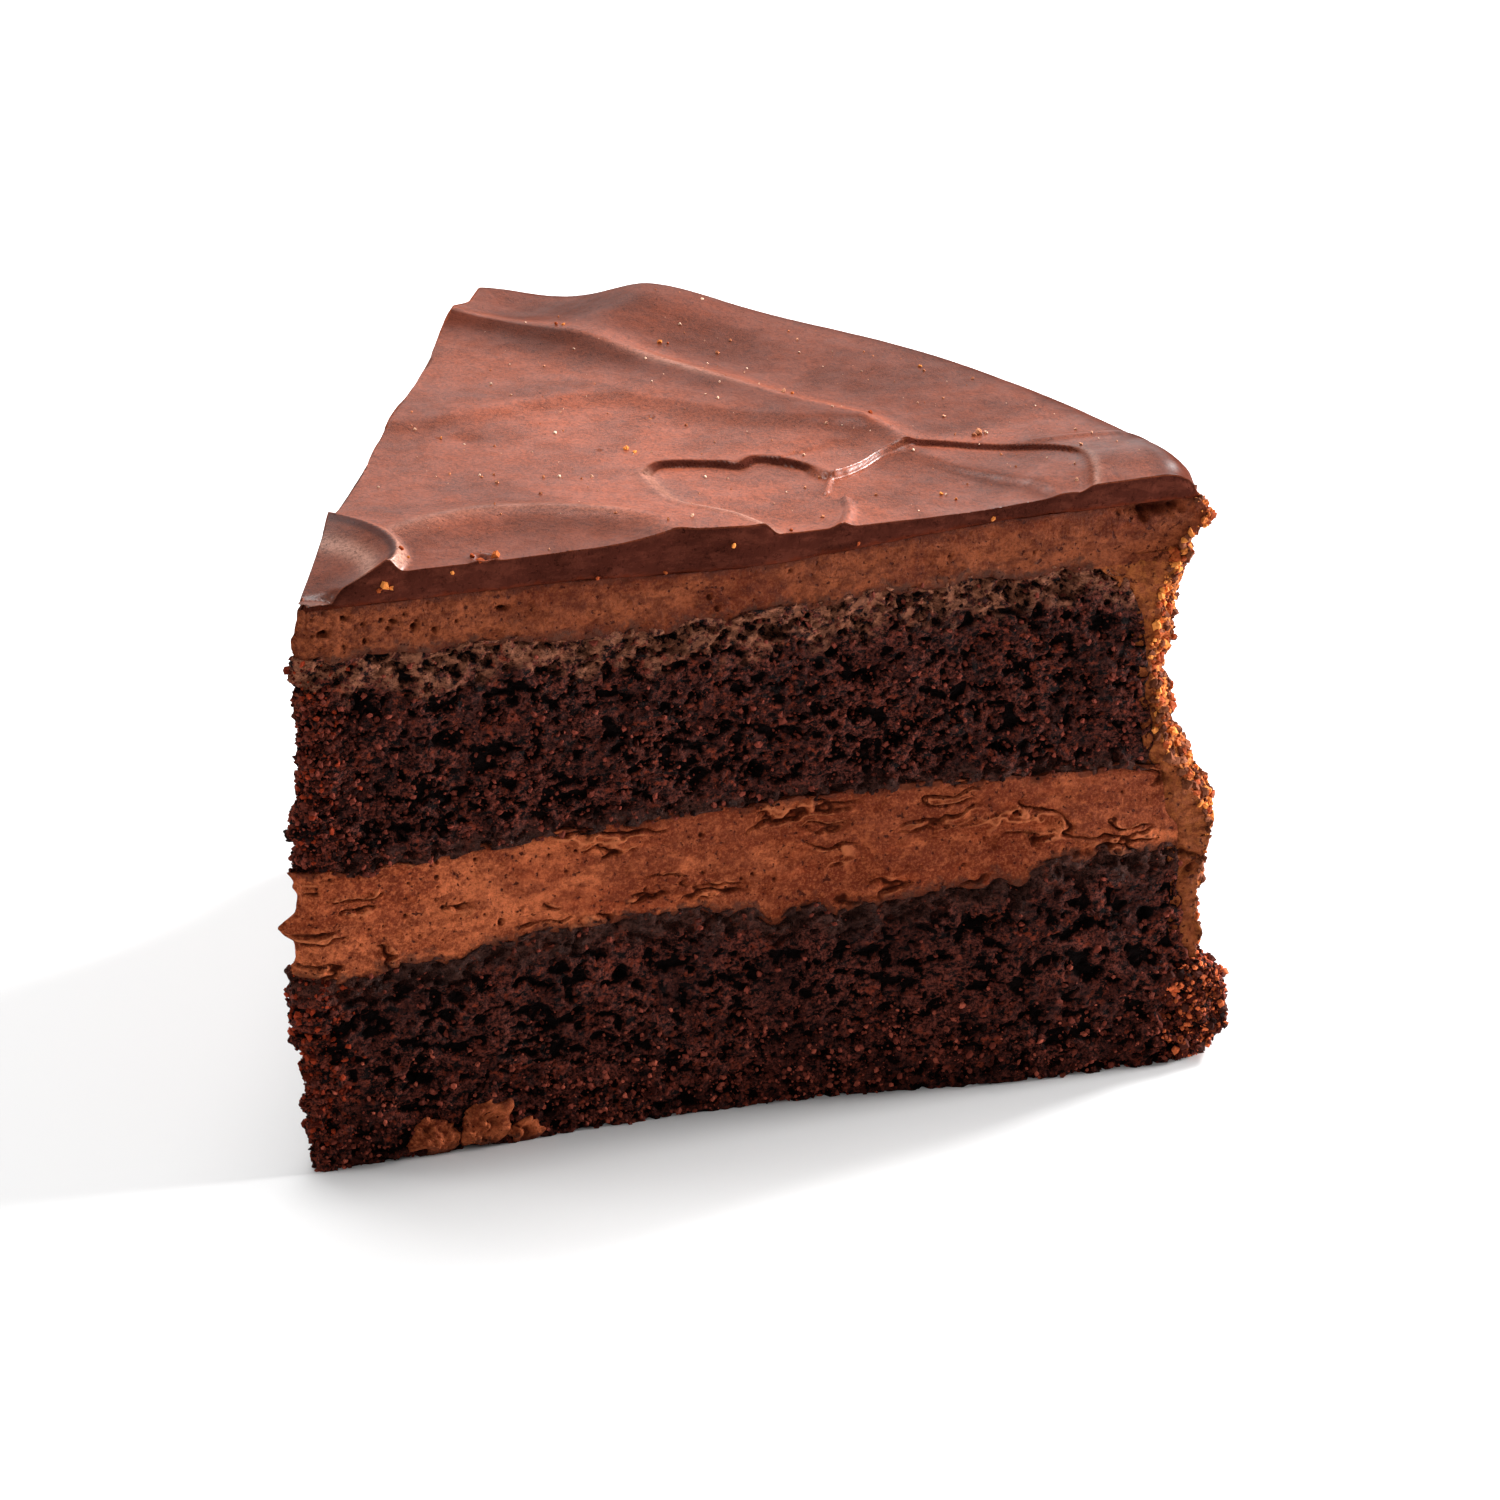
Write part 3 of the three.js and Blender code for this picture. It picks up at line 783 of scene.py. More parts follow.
ganache = {
    "body": (0.257, 0.0610, 0.0280),
    "pale": (0.300, 0.0750, 0.0355),
    # dark colour of the painted shade, also laid on the grain's darker flecks
    "shade": (0.056, 0.0130, 0.0076),
    # the cut face's colour: the fresh cut's own darker colour, made darker still as painted shade, and the darkest
    # painted shade on top
    "section": (0.072, 0.0170, 0.0108),
    "streak": (0.128, 0.032, 0.0195),     # cream dragged over the section
    "bloom": (0.46, 0.25, 0.185),         # pale colour of the painted highlights on the facet, the lip, the pool's edge and the front roll
    "along": 318,
    "around": 270,
    "wallRows": 10,
    "knife": {                # lines of the knife marks on the top
        "frontRoll": trail((10, 8), (16, 12), (24, 14.5), (32, 14), (41, 10), (46, 6), (47.5, 0)),
        "backCrest": trail(
            (42, 93), (46.5, 87), (52.8, 79.8), (59.5, 70.6), (64.4, 62.2), (69.8, 53.2), (76, 42.4), (81.2, 34.2),
            (84.3, 27.5), (85, 22),
        ),
        "middleWave": trail((28, 50), (36, 51), (47, 53), (57, 51), (64, 44), (70, 38), (82, 31)),
        "poolEdge": trail(
            (60, -3), (57, 5), (51.7, 10.5), (50.5, 15), (51, 23), (54, 26.3), (60, 24.5), (63, 22.6), (66, 24),
            (70, 21), (72.5, 15.5), (77, 17.5), (81, 20.5), (85.5, 22), (90, 21.5), (96, 17.5), (102, 13.5),
            (103.2, 8), (100.3, -3),
        ),
        "sharpLip": trail((70.4, 10.9), (72.7, 15.2), (77, 17.5), (81, 20.5), (85.5, 22)),
        "torn": trail((51, 23), (54, 26.3), (60, 24.5), (63, 22.6), (66, 24), (70, 21), (72.5, 15.5)),
        "pocketRoll": trail((85.6, 21), (87.4, 16.5), (89.9, 12.4), (94.2, 7.3), (96.3, 4.5), (97.6, -1)),
        "rimLine": trail((86, 22.5), (95, 20), (99, 17.4), (104.4, 16.7), (109.4, 15.3), (113, 13)),
        "drag": trail((72, 9), (71, 4.5), (68.3, -0.5)),
    },
    "lipTop": 78.7,
    "lipFoot": 73.6,          # height of the point's facet where it starts
    "lipFrom": 11.4,          # the upturned lip's distance from the point at the front cut
    "lipGrows": 8.9,          # and how much further it stands at the second cut
    "rimRoll": 4.5,
    "pinholes": ((58.2, 42.2, 0.45), (48.3, 33.1, 0.4), (23.5, 1.2, 1.1), (30.5, 43.8, 0.3), (72.9, 62.0, 0.3)),
}


def offKnife(r, angle):
    # Flat place, and the distance off each knife mark with the share of the way along it.
    x, y = r * np.cos(angle), r * np.sin(angle)
    return x, y, {name: offTrail(line, x, y) for name, line in ganache["knife"].items()}


def lipDistance(angle):
    # Where the upturned lip stands: further from the point towards the second cut.
    return ganache["lipFrom"] + ganache["lipGrows"] * (angle / cake["angle"]) ** 0.85


def ganacheTop(r, angle):
    # Flat spread plus a bell or a step for each knife mark, cut off by the lip at the point and
    # rolled over along a quarter of an ellipse at the rim.
    x, y, off = offKnife(r, angle)
    z = cake["top"] + 0.4 * bell(np.hypot(x - 27, y - 53), 15)

    roll, _ = off["frontRoll"]
    z += (1.0 * bell(roll, np.where(roll > 0, 11, 6)) + 0.35 * bell(roll, 1.8)) * ease(r, 12, 20)
    wave, share = off["middleWave"]
    z += 0.55 * bell(wave, np.where(wave > 0, between(7, 2.6, ease(share, 0.8, 1)), 2.6))
    crest, share = off["backCrest"]
    z += between(1.6, 0.6, share) * bell(crest, np.where(crest > 0, 5, between(15, 5, ease(share, 0.75, 1))))
    z += 0.45 * bell(crest, np.where(crest > 0, 1.6, between(3.5, 1.6, ease(share, 0.8, 1))))

    places = packed(x, y, np.zeros_like(x))
    pool, share = off["poolEdge"]
    pool = pool + 0.4 * roughness(places, 1.8, 2, 27) * bell(share - 0.42, 0.16)           # torn edge
    sunk = between(0.62, 1.3, ease(-y, -14, 0)) * (1 - 0.3 * ease(x, 84, 96))
    soft = between(1.5, 0.45, ease(share, 0.2, 0.27)) + 1.2 * ease(share, 0.9, 0.97)
    z -= sunk * ease(-pool, -0.3 * soft, soft)
    z += 0.16 * bell(pool - 0.7, 0.8) * (1 - ease(share, 0.2, 0.27))
    lip, share = off["sharpLip"]
    z += between(0.38, 0.22, share) * bell(lip, 0.34)
    torn, share = off["torn"]
    z += 0.12 * bell(torn - 0.5, 0.8) * (0.6 + 0.4 * np.sin(34 * share))
    drag, share = off["drag"]
    z += 0.6 * bell(drag, between(0.45, 0.9, share)) * ease(share, 0, 0.1)
    pocket, share = off["pocketRoll"]
    z += 0.45 * bell(pocket, np.where(pocket > 0, 3.2, 1.4)) * ease(share, 0, 0.2)
    rimLine, share = off["rimLine"]
    z += 0.25 * bell(rimLine, 1.0) * ease(share, 0.3, 0.45)

    turn = np.degrees(angle)
    z += 2.4 * bell(turn - 50, np.where(turn > 50, 3.6, 6.5)) * ease(r, 84, 110)
    z -= 0.6 * bell(np.hypot(x - 51, y - 90), 7)
    z -= 0.35 * bell(np.hypot((x - 34) / 1.3, y - 42), 1.8)
    raised = 1.2 + 0.65 * bell(turn - 4, 2.5) - 0.6 * bell(turn - 17, 9) - 0.9 * bell(turn - 57.5, 3.5)
    z += (raised - 0.9 * bell(turn, 1.5)) * ease(r, 90, 108)

    z = z + 0.10 * roughness(places, 13, 3, 21) + 0.02 * roughness(places, 1.6, 2, 25)
    for holeX, holeY, size in ganache["pinholes"]:
        hole = np.hypot(x - holeX, y - holeY)
        z = z - 1.1 * size * bell(hole, 0.8 * size) + 0.25 * size * bell(hole - 1.3 * size, 0.5 * size)

    lipAt, lipTop = lipDistance(angle), ganache["lipTop"]
    facet = between(ganache["lipFoot"], lipTop, r / lipAt) - 0.5 * np.sin(np.pi * np.clip(r / lipAt, 0, 1))
    facet -= 2.2 * ease(5.6 - r, -0.5, 2.4) * bell(y, 1.5)                 # nick in the front cut
    z = np.where(r < lipAt, facet, z + (lipTop - z) * bell(r - lipAt, 1.1))

    floor, roll = ganacheFloor(r, angle), ganache["rimRoll"]
    rolled = np.clip((r - (cake["radius"] - roll)) / roll, 0, 1)
    return np.maximum(between(floor, z, np.sqrt(1 - 0.92 * rolled ** 2)), floor + 0.6)


def ganacheTone(r, angle):
    # Three marks from 0 to 1. Painted shade: a bell beside the crest, and steps behind the middle wave, behind the
    # crest, before the front roll, on the rim, along the torn ridge and the groove, and on the facet. How shiny: less
    # where shaded, more on the rim. Painted highlights: bells along the facet, the nick in it, the lip, the pool's
    # edge and the front roll.
    x, y, off = offKnife(r, angle)
    (crest, share), (wave, waveShare), (roll, _) = off["backCrest"], off["middleWave"], off["frontRoll"]
    (torn, tornShare), (groove, along), (pocket, _) = off["torn"], off["poolEdge"], off["pocketRoll"]
    shade = np.maximum.reduce([
        0.94 * ease(-crest, -0.3, 0.8) * bell(np.maximum(-crest - 2, 0), 8)
        * (1 - 0.5 * share) * (1 - ease(share, 0.88, 1)),
        0.27 * ease(wave, -0.5, 2) * ease(r, 30, 45) * (1 - ease(waveShare, 0.85, 1)),
        between(0.68, 0.52, share) * ease(crest, 0.8, 5) * (1 - ease(share, 0.92, 1)),
        0.5 * ease(-roll, 0.5, 4) * ease(-x, -50, -44),
        0.32 * ease(-x, -46, -30),
        0.36 * ease(x, 70, 82) * ease(-groove, 0.8, 2),
        0.55 * bell(pocket + 2.2, 1.8) * ease(-groove, 0.4, 1.2) * ease(x, 85, 90),
    ])
    sheen = 0.7 * (1 - 0.5 * shade) * (1 - 0.8 * ease(shade, 0.7, 0.9))
    sheen = sheen + 0.4 * ease(x, 72, 86) * bell(y, 9) + 0.35 * ease(r, 98, 106) * bell(y - 6, 8)
    sheen = sheen * (1 - 0.9 * ease(r, 110, 113))
    onGroove = bell(groove + 0.15, 0.45) * ease(along, 0.7, 0.73) * (1 - 0.7 * ease(along, 0.86, 0.95))
    cut = np.maximum(bell(torn + 0.15, 0.5) * (1 - ease(tornShare, 0.86, 0.95)), onGroove)
    onRim = between(0.4, 0.85, ease(r, 108, 112)) * ease(r, 94, 104)
    # painted shade on the rim, darkest along the torn ridge and the groove
    shade = np.maximum.reduce([shade, onRim, np.minimum(1.6 * cut, 1.2)])
    sheen = np.clip(sheen * (1 - 2.4 * cut), 0, 1)

    lipAt = lipDistance(angle)
    poolRim = bell(groove + 0.4, 1.3) * ease(-along, -0.27, -0.2)
    # painted highlights along the pool's edge, the front roll, the crest, the lip and on the facet
    pale = np.maximum.reduce([
        between(0.9, 0.42, ease(along, 0.02, 0.12)) * poolRim,
        0.2 * bell(roll, 1.6) * ease(r, 12, 20) * ease(-x, -48, -40),
        0.35 * bell(groove - 0.5, 0.5) * ease(along, 0.9, 0.94),
        0.3 * bell(crest, 1.2) * bell(share - 0.5, 0.1),
        0.9 * bell(r - lipAt - 0.7, 0.8) * bell(angle, 0.55),
    ])
    nick = ease(5.2 - r, 0, 1.6) * bell(angle * r, 1.6)
    onFacet = (
        0.55 + 0.45 * ease(r / lipAt, 0.91, 0.95), 0.65, np.maximum(0.58 * bell(r / lipAt - 0.73, 0.085), 0.3 * nick)
    )
    return [np.where(r < lipAt, facet, behind) for facet, behind in zip(onFacet, (shade, sheen, pale))]


def ganacheRelief(places, r, onRim):
    # Clean cut with a faint drag, worn in a little along its upper edge.
    angle = np.clip(np.arctan2(places[..., 1], places[..., 0]), 0, cake["angle"])
    worn = 0.3 * ease(places[..., 2] - ganacheTop(r, angle), -0.9, 0)
    worn = worn - 0.5 * noise(places * [1, 1, 0], 9, 152) * ease(angle, 0.5, 0.9)      # the second cut wanders
    drag = 0.05 * noise(flattened(places, 3.0), 1.2, 150) + 0.06 * noise(places, 2.6, 151)
    return drag - worn, np.zeros_like(r)


ganacheLayer = {"side": coatSide, "corner": coatCorner, "relief": ganacheRelief, "setIn": 1.4}


def towardsFront(turn):
    # Turns crowded towards the front, where the knife left marks: half of the turn plus its cube.
    return 0.5 * (turn + turn ** 3)


def buildGanache(material):
    # A wall round the spread and a zigzag floor, then its top as a grid of distances by angles, which a
    # ladder joins to the few points round the blunt point.
    along, around = ganache["along"], ganache["around"]
    share, turn = wayRound(along - 1, around - 1, along - 1)
    rise = np.linspace(0, 1, ganache["wallRows"])[:, None]
    share, turn, rise = np.broadcast_arrays(share, towardsFront(turn), rise)
    r, angle = polar(share, turn)
    height = between(ganacheFloor(r, angle), ganacheTop(r, angle), rise)
    wall, _ = stand(ganacheLayer, share, turn, height)

    rows, columns = rise.shape
    even = towardsFront(np.linspace(0, 1, around))
    share, turn = np.meshgrid(np.linspace(0, 1, along)[1:], even, indexing="ij")
    r, angle = polar(share, turn)
    top, _ = stand(ganacheLayer, share, turn, ganacheTop(r, angle))
    first = rows * columns
    tip = np.arange(first - 1, first - cake["pointSteps"] - 2, -1)
    faces = joined(
        gridFaces(rows, columns), lidFaces(np.arange(columns - 1), True), gridFaces(*share.shape, first, True),
        ladderFaces(first + np.arange(around), tip, True),
    )
    marks = {"cut": ((rise < 1) * 1.0, 0 * r), "fromFloor": (height - height[0], 0 * r + lines["farOff"])}
    marks.update(zip(("shade", "sheen", "bloom"), ((0 * rise, tone) for tone in ganacheTone(r, angle))))
    marks = {mark: joined(onWall.ravel(), onTop.ravel()) for mark, (onWall, onTop) in marks.items()}
    points = joined(wall.reshape(-1, 3), top.reshape(-1, 3))
    makePiece("ganache_spread", points, faces, material, ("ganache",), marks)


def ganacheFinish():
    # Satin chocolate, dark where it is cut, finely pitted in patches on top, with painted shade and painted highlights
    # laid on by marks.
    constants = {"Specular IOR Level": 0.0, "Coat Roughness": 0.33, "Coat IOR": 1.45}
    finish = Finish("ganacheSatin", ganache["body"], Roughness=0.6, **constants)
    grain, shade = finish.noise(0.45, 4, 0.75), finish.mark("shade")
    cut = finish.limits(finish.mark("cut"), 0.02, 0.6)
    dragged = finish.clouds((1.6, 4, 0.7, finish.stretched(0.35, 0.35, 1)), 0.47, 0.60)
    low = finish.limits(finish.mark("fromFloor") + finish.noise(1.1, 3, 0.6) * 1.6 - 0.8, -0.1, 0.6, 1, 0)
    finish.lay(
        (finish.noise(14, 2, 0.5), ganache["pale"]),
        # painted shade from the shade mark
        (finish.sum("MINIMUM", shade, 1), ganache["shade"]),
        # the darkest painted shade, along the torn ridge and the groove, in the section's colour
        (finish.limits(shade, 0.9, 1.05) * 0.8, ganache["section"]),
        # painted highlights
        (finish.mark("bloom"), ganache["bloom"]),
        (finish.limits(grain, 0.45, 0.60) * 0.5, ganache["shade"]),
        (cut, ganache["section"]),
        (dragged * cut * 0.6, ganache["streak"]),
        (low * cut * 0.5, cream["deep"]),
    )
    satin = finish.clouds((3, 4, 0.6), 0.35, 0.65, 0.85, 1.15)
    finish.feed("Coat Weight", (1 - cut) * satin * finish.mark("sheen"))
    pitted = finish.clouds((11, 2, 0.5), 0.42, 0.62) * 0.8 + 0.2
    bubbles = finish.clouds((0.5, 1, 0.5), 0.34, 0.26) * pitted
    return finish.done(grain * pitted + finish.noise(1.6, 2, 0.5) * 0.6 - bubbles * 1.2, 0.62)


crumbs = {
    "seed": 11,
    "turns": 5,               # corners of each ring of a crumb
    "rings": 2,
    "cling": 0.7,             # share of its radius that a crumb is sunk by
    "lowest": 0.02,           # height above the table
    "finishes": {             # darkest and lightest tone
        "looseCrumb": ((0.010, 0.0020, 0.0014), (0.250, 0.050, 0.031)),
        # painted rim light: redder crumbs beside the point
        "paintedRimLitCrumb": ((0.050, 0.0050, 0.0022), (0.34, 0.041, 0.014)),
        "paleCrumb": ((0.050, 0.0100, 0.0070), (0.48, 0.105, 0.062)),
        "creamFlake": ((0.105, 0.0270, 0.0110), (0.25, 0.076, 0.034)),
        # bright orange: painted rim light on the coat's torn edge, and the colour of the bits the knife left
        "tornFlakeAndRimLight": ((0.34, 0.060, 0.016), (0.95, 0.320, 0.070)),
        # painted rim light: bright orange crumbs on the foot's corner
        "cornerCrumb": ((0.055, 0.0070, 0.0030), (0.90, 0.190, 0.062)),
        "footCrumb": ((0.008, 0.0020, 0.0014), (0.105, 0.027, 0.018)),
        # pale flecks on the top, partly painted glints
        "creamFleckAndGlint": ((0.48, 0.16, 0.07), (0.90, 0.62, 0.45)),
    },
    "sizes": {                # smallest and largest radius
        "fine": (0.11, 0.46),
        "loose": (0.14, 0.55),
        "flake": (0.14, 0.7),
        "big": (0.2, 0.85),
    },
    "likely": {               # by the distance from the point, then x, y and z
        "lower": lambda r, x, y, z: np.where(
            (r > 113) & (z > 12.6), 0, 1 + 2 * bell(r, 8) + 2.4 * ease(-z, -14, -3) + 1.5 * ease(r, 108, 115)
        ),
        "upper": lambda r, x, y, z: np.where(r > 108.5, 0, (0.6 + 2 * bell(r, 8)) * ease(-z, -66, -56) + 0.15),
        "point": lambda r, x, y, z: bell(r, 3.5) * ease(z, 1, 4),
        "base": lambda r, x, y, z: (
            ease(-z, -17, -4) * (0.3 + ease(noise(packed(x, y, z), 5, 31), -0.1, 0.4)) * (y < 0.8 * x)
        ),
        "foot": lambda r, x, y, z: ease(r, 109, 115) * (z < 12.4),
        "corner": lambda r, x, y, z: ease(r, 109, 115) * (z < 12.4) * bell(y + 5, 8),
        "coat": lambda r, x, y, z: 0.3 + bell(y, 6),
        "edge": lambda r, x, y, z: bell(y, 3),
    },
    "kinds": (                # name, what it clings to, how many, sizes, how likely where, finish and slot
        ("lower_crumbs", "lowerSponge", 9800, "fine", "lower", "looseCrumb", "sponge"),
        ("upper_crumbs", "upperSponge", 9800, "fine", "upper", "looseCrumb", "sponge"),
        ("lower_point_crumbs", "lowerSponge", 420, "loose", "point", "paintedRimLitCrumb", "sponge"),
        ("upper_point_crumbs", "upperSponge", 280, "loose", "point", "paintedRimLitCrumb", "sponge"),
        ("base_crumbs", "lowerSponge", 3200, "fine", "base", "paleCrumb", "sponge"),
        ("foot_crumbs", "lowerSponge", 1400, "big", "foot", "footCrumb", "sponge"),
        ("foot_corner_crumbs", "lowerSponge", 1000, "loose", "corner", "cornerCrumb", "sponge"),
        ("coat_flakes", "coat", 5200, "flake", "coat", "creamFlake", "frosting"),
        ("coat_edge_flakes", "coat", 900, "flake", "edge", "tornFlakeAndRimLight", "frosting"),
        ("upper_coat_flakes", "frosting", 700, "flake", "coat", "creamFlake", "frosting"),
        ("upper_edge_flakes", "frosting", 160, "flake", "edge", "tornFlakeAndRimLight", "frosting"),
    ),
}


def pickSpots(grid, count, rng, weight):
    # Random places on a grid of points, as likely as their cell's area times its weight, and the way out.
    corner = grid[:-1, :-1]
    along, up = grid[:-1, 1:] - corner, grid[1:, :-1] - corner
    out = np.cross(along, up)
    area = np.linalg.norm(out, axis=-1)
    likely = (area * weight(np.hypot(corner[..., 0], corner[..., 1]), *np.moveaxis(corner, -1, 0))).ravel()
    chosen = rng.choice(area.size, count, p=likely / likely.sum())
    slide = rng.random((2, count, 1))
    corner, along, up, out = (part.reshape(-1, 3)[chosen] for part in (corner, along, up, out))
    return corner + slide[0] * along + slide[1] * up, out / np.maximum(area.ravel()[chosen, None], 1e-9)


def ball(turns, rings):
    # Points and faces of a ball: rings of turns points between two poles.
    down = np.linspace(0, np.pi, rings + 2)[1:-1, None]
    about = steps(0, 2 * np.pi, turns)
    around = packed(np.sin(down) * np.cos(about), np.sin(down) * np.sin(about), np.cos(down) * np.ones(turns))
    first, last = np.arange(turns), (rings - 1) * turns
    after = (first + 1) % turns
    faces = [packed(np.full(turns, turns * rings), first, after)]
    faces += [packed(ring + first, ring + turns + first, ring + after) for ring in range(0, last, turns)]
    faces += [packed(ring + after, ring + turns + first, ring + turns + after) for ring in range(0, last, turns)]
    faces.append(packed(last + first, np.full(turns, turns * rings + 1), last + after))
    return joined(around.reshape(-1, 3), [[0, 0, 1], [0, 0, -1]]), joined(*faces)


def scatter(name, spots, out, sizes, sunk, material, rng):
    # Balls with every point pushed in or out, stretched and turned at random, partly sunk in what they sit on.
    shape, shapeFaces = ball(crumbs["turns"], crumbs["rings"])
    count = len(spots)
    turned = np.linalg.qr(rng.normal(size=(count, 3, 3)))[0]
    turned = turned * np.linalg.det(turned)[:, None, None]
    lumps = shape * rng.uniform(0.62, 1.3, (count, len(shape), 1)) * rng.uniform(0.65, 1.3, (count, 1, 3))
    points = (lumps @ turned) * sizes[:, None, None] + (spots + out * (sizes * (1 - sunk))[:, None])[:, None]
    points[..., 2] = np.maximum(points[..., 2], crumbs["lowest"])
    faces = (np.arange(count)[:, None, None] * len(shape) + shapeFaces).reshape(-1, 3)
    makePiece(name, points, faces, material, (), {"tone": rng.random(count).repeat(len(shape))}, False)


def crumbSizes(count, sizes, rng):
    # Mostly small: the cube of a random share between the smallest and the largest.
    return between(sizes[0], sizes[1], rng.random(count) ** 3)


def crumbFinish(name, dark, warm):
    # Each crumb has its own tone between two colours, with a fine grain.
    finish = Finish(name, dark, Roughness=0.75, **{"Specular IOR Level": 0.06})
    tone = finish.mark("tone") + finish.noise(0.3, 3, 0.6) * 0.6 - 0.3
    finish.lay((finish.limits(tone, 0.2, 1.05), warm))
    return finish.done(finish.noise(0.2, 4, 0.7), 0.15)


def addCrumbs(grids, finishes, rng):
    # Crumbs cling to both sponges, closest beside the point and on the foot, and flakes of cream to the coat.
    for name, onto, count, sizes, likely, finish, slot in crumbs["kinds"]:
        spots, out = pickSpots(grids[onto], count, rng, crumbs["likely"][likely])
        sizes = crumbSizes(count, crumbs["sizes"][sizes], rng)
        scatter(name, spots, out, sizes, crumbs["cling"], finishes[finish], rng)


bits = {
    "flecks": 300,            # strewn over the top: tiny pale specks, partly painted glints
    "cling": (0.75, 0.6),     # share of their radius that flecks and bits are sunk by
    "strewn": (20, 111),      # how near the point and the rim
    "fleckSizes": (0.05, 0.27),
    "paleOnTop": ((95.2, 22.6, 0.55), (94.4, 22.3, 0.4), (96.1, 22.5, 0.35), (76.5, 43.5, 0.4)),
    "onTop": (                # place on the top and radius
        (58.2, 42.2, 0.3), (51.6, 32.4, 0.35), (52.3, 31.0, 0.25), (83.9, 6.5, 0.3), (85, 4.5, 0.25),
        (62.2, 0.9, 0.3), (67.9, 67.7, 0.35), (68.9, 67.2, 0.25), (23.3, 1.1, 0.95), (24.9, 0.9, 0.6),
        (22.2, 1.6, 0.45), (22.9, 0.4, 0.3), (56.5, 76.5, 0.4), (57.4, 76.2, 0.3), (77.4, 42.6, 0.3),
        (14.2, 3.9, 0.3), (14.9, 3.4, 0.2), (30.8, 43.5, 0.2), (84.5, 33.0, 0.3), (97, 48, 0.3),
    ),
    "onCut": (                # distance along the front cut, height and radius
        (10.8, 75.6, 0.6), (11.7, 75.1, 0.4), (10.2, 75.0, 0.35), (19.3, 76.1, 0.25), (37.2, 73.2, 0.4),
        (45.8, 72.8, 0.25), (54.5, 75.2, 0.35), (70.5, 73.4, 0.3), (88.0, 74.5, 0.3),
    ),
}
smears = {                    # cream rubbed on the foot of the front cut: outlines along it and up it
    "thick": 1.1,
    "outlines": (
        ((18.6, 4.1), (20.1, 5.9), (23.9, 6.1), (25, 4.2), (24.7, 1.7), (23.2, 0.4), (19.9, 0.4), (18.6, 1.4)),
        ((11.6, 1.7), (13.6, 5), (15.7, 4.9), (18.1, 2.8), (18.3, 0.8), (16.1, 0.3), (14.2, 0.3)),
        ((24, 1.2), (25.8, 2.7), (27.7, 2.9), (29.5, 1.2), (28.3, 0.3), (25.8, 0.3)),
    ),
}


def onGanache(x, y):
    # Places on the spread above flat places.
    return packed(x, y, ganacheTop(np.hypot(x, y), np.arctan2(y, x)))


def addBits(finishes, rng):
    # Flecks of cream on the top, the tiny strewn ones partly painted glints, thick ones at named places, and bits that
    # the knife left on the section.
    count, (near, far), (fleckSunk, bitSunk) = bits["flecks"], bits["strewn"], bits["cling"]
    namedX, namedY, namedSizes = np.array(bits["paleOnTop"]).T
    r = np.sqrt(rng.uniform(near ** 2, far ** 2, count))
    angle = rng.uniform(0.03, cake["angle"] - 0.03, count)
    spots = onGanache(joined(r * np.cos(angle), namedX), joined(r * np.sin(angle), namedY))
    sizes = joined(crumbSizes(count, bits["fleckSizes"], rng), namedSizes)
    up, front = np.array([0.0, 0, 1]), np.array([0.0, -1, 0])
    scatter("top_flecks", spots, up, sizes, fleckSunk, finishes["creamFleckAndGlint"], rng)
    along, height, cutSizes = np.array(bits["onCut"]).T
    x, y, topSizes = np.array(bits["onTop"]).T
    spots = joined(packed(along, np.full_like(along, -0.1), height), onGanache(x, y))
    out = joined(np.tile(front, (len(along), 1)), np.tile(up, (len(x), 1)))
    sizes = joined(cutSizes, topSizes)
    scatter("cream_bits", spots, out, sizes, bitSunk, finishes["tornFlakeAndRimLight"], rng)


def addSmears(material):
    # A dome for each smear: its outline drawn in to the middle, as thick as a quarter of a circle, made lumpy
    # by noise, and closed by a point inside the sponge.
    for number, outline in enumerate(smears["outlines"]):
        edge, middle = trail(*outline, outline[0]), np.mean(outline, axis=0)
        out = np.array([*np.linspace(0, 1, 16), 0])[:, None]
        x, height = np.moveaxis(middle + out[..., None] * (edge - middle), -1, 0)
        lumps = roughness(packed(x, np.zeros_like(x), height), 1.3, 4, 170)
        x, height = x + 0.75 * lumps * out, height + 0.75 * lumps * out
        thick = smears["thick"] * np.sqrt(1 - 0.96 * out ** 2) * np.maximum(0.15, 0.8 + 0.9 * lumps)
        depth = np.where(np.arange(len(out))[:, None] < len(out) - 1, -0.15 - thick, 1.5)
        height = np.maximum(height, 0.05)
        # painted shade in the smears' dents
        hollow = np.clip(-lumps, 0, 1) * (depth < 0)
        marks = {"hollow": hollow * 0.6, "fromFloor": height, "fromTop": height}
        faces = gridFaces(*depth.shape)
        makePiece(f"foot_smear_{number + 1}", packed(x, depth, height), faces, material, (), marks)


# The six layers. Their grids of points carry the crumbs, and the coat takes crumbs on its rim alone.
fillingMaterial, frostingMaterial = creamFinish("whippedFilling", 1.12, 0.8), creamFinish("whippedFrosting", 0.58, 0.2)
lowerGrid = buildLayer("lower_sponge", lowerSponge, spongeFinish("darkCrumb", False), "sponge_lower")
buildLayer("cream_filling", filling, fillingMaterial, "filling")
upperGrid = buildLayer("upper_sponge", upperSponge, spongeFinish("smearedCrumb", True), "sponge_upper")
frostingGrid = buildLayer("frosting_under_ganache", frostingTop, frostingMaterial, "frosting")
coatGrid = buildCoat(frostingMaterial)
buildGanache(ganacheFinish())
grids = {"lowerSponge": lowerGrid, "upperSponge": upperGrid}
for name, grid, first, around in (
    ("coat", coatGrid, coat["capColumns"], coat["columns"]), ("frosting", frostingGrid, *frostingTop["columns"][:2]),
):
    grids[name] = grid[:, first - 4:first + around + 4]

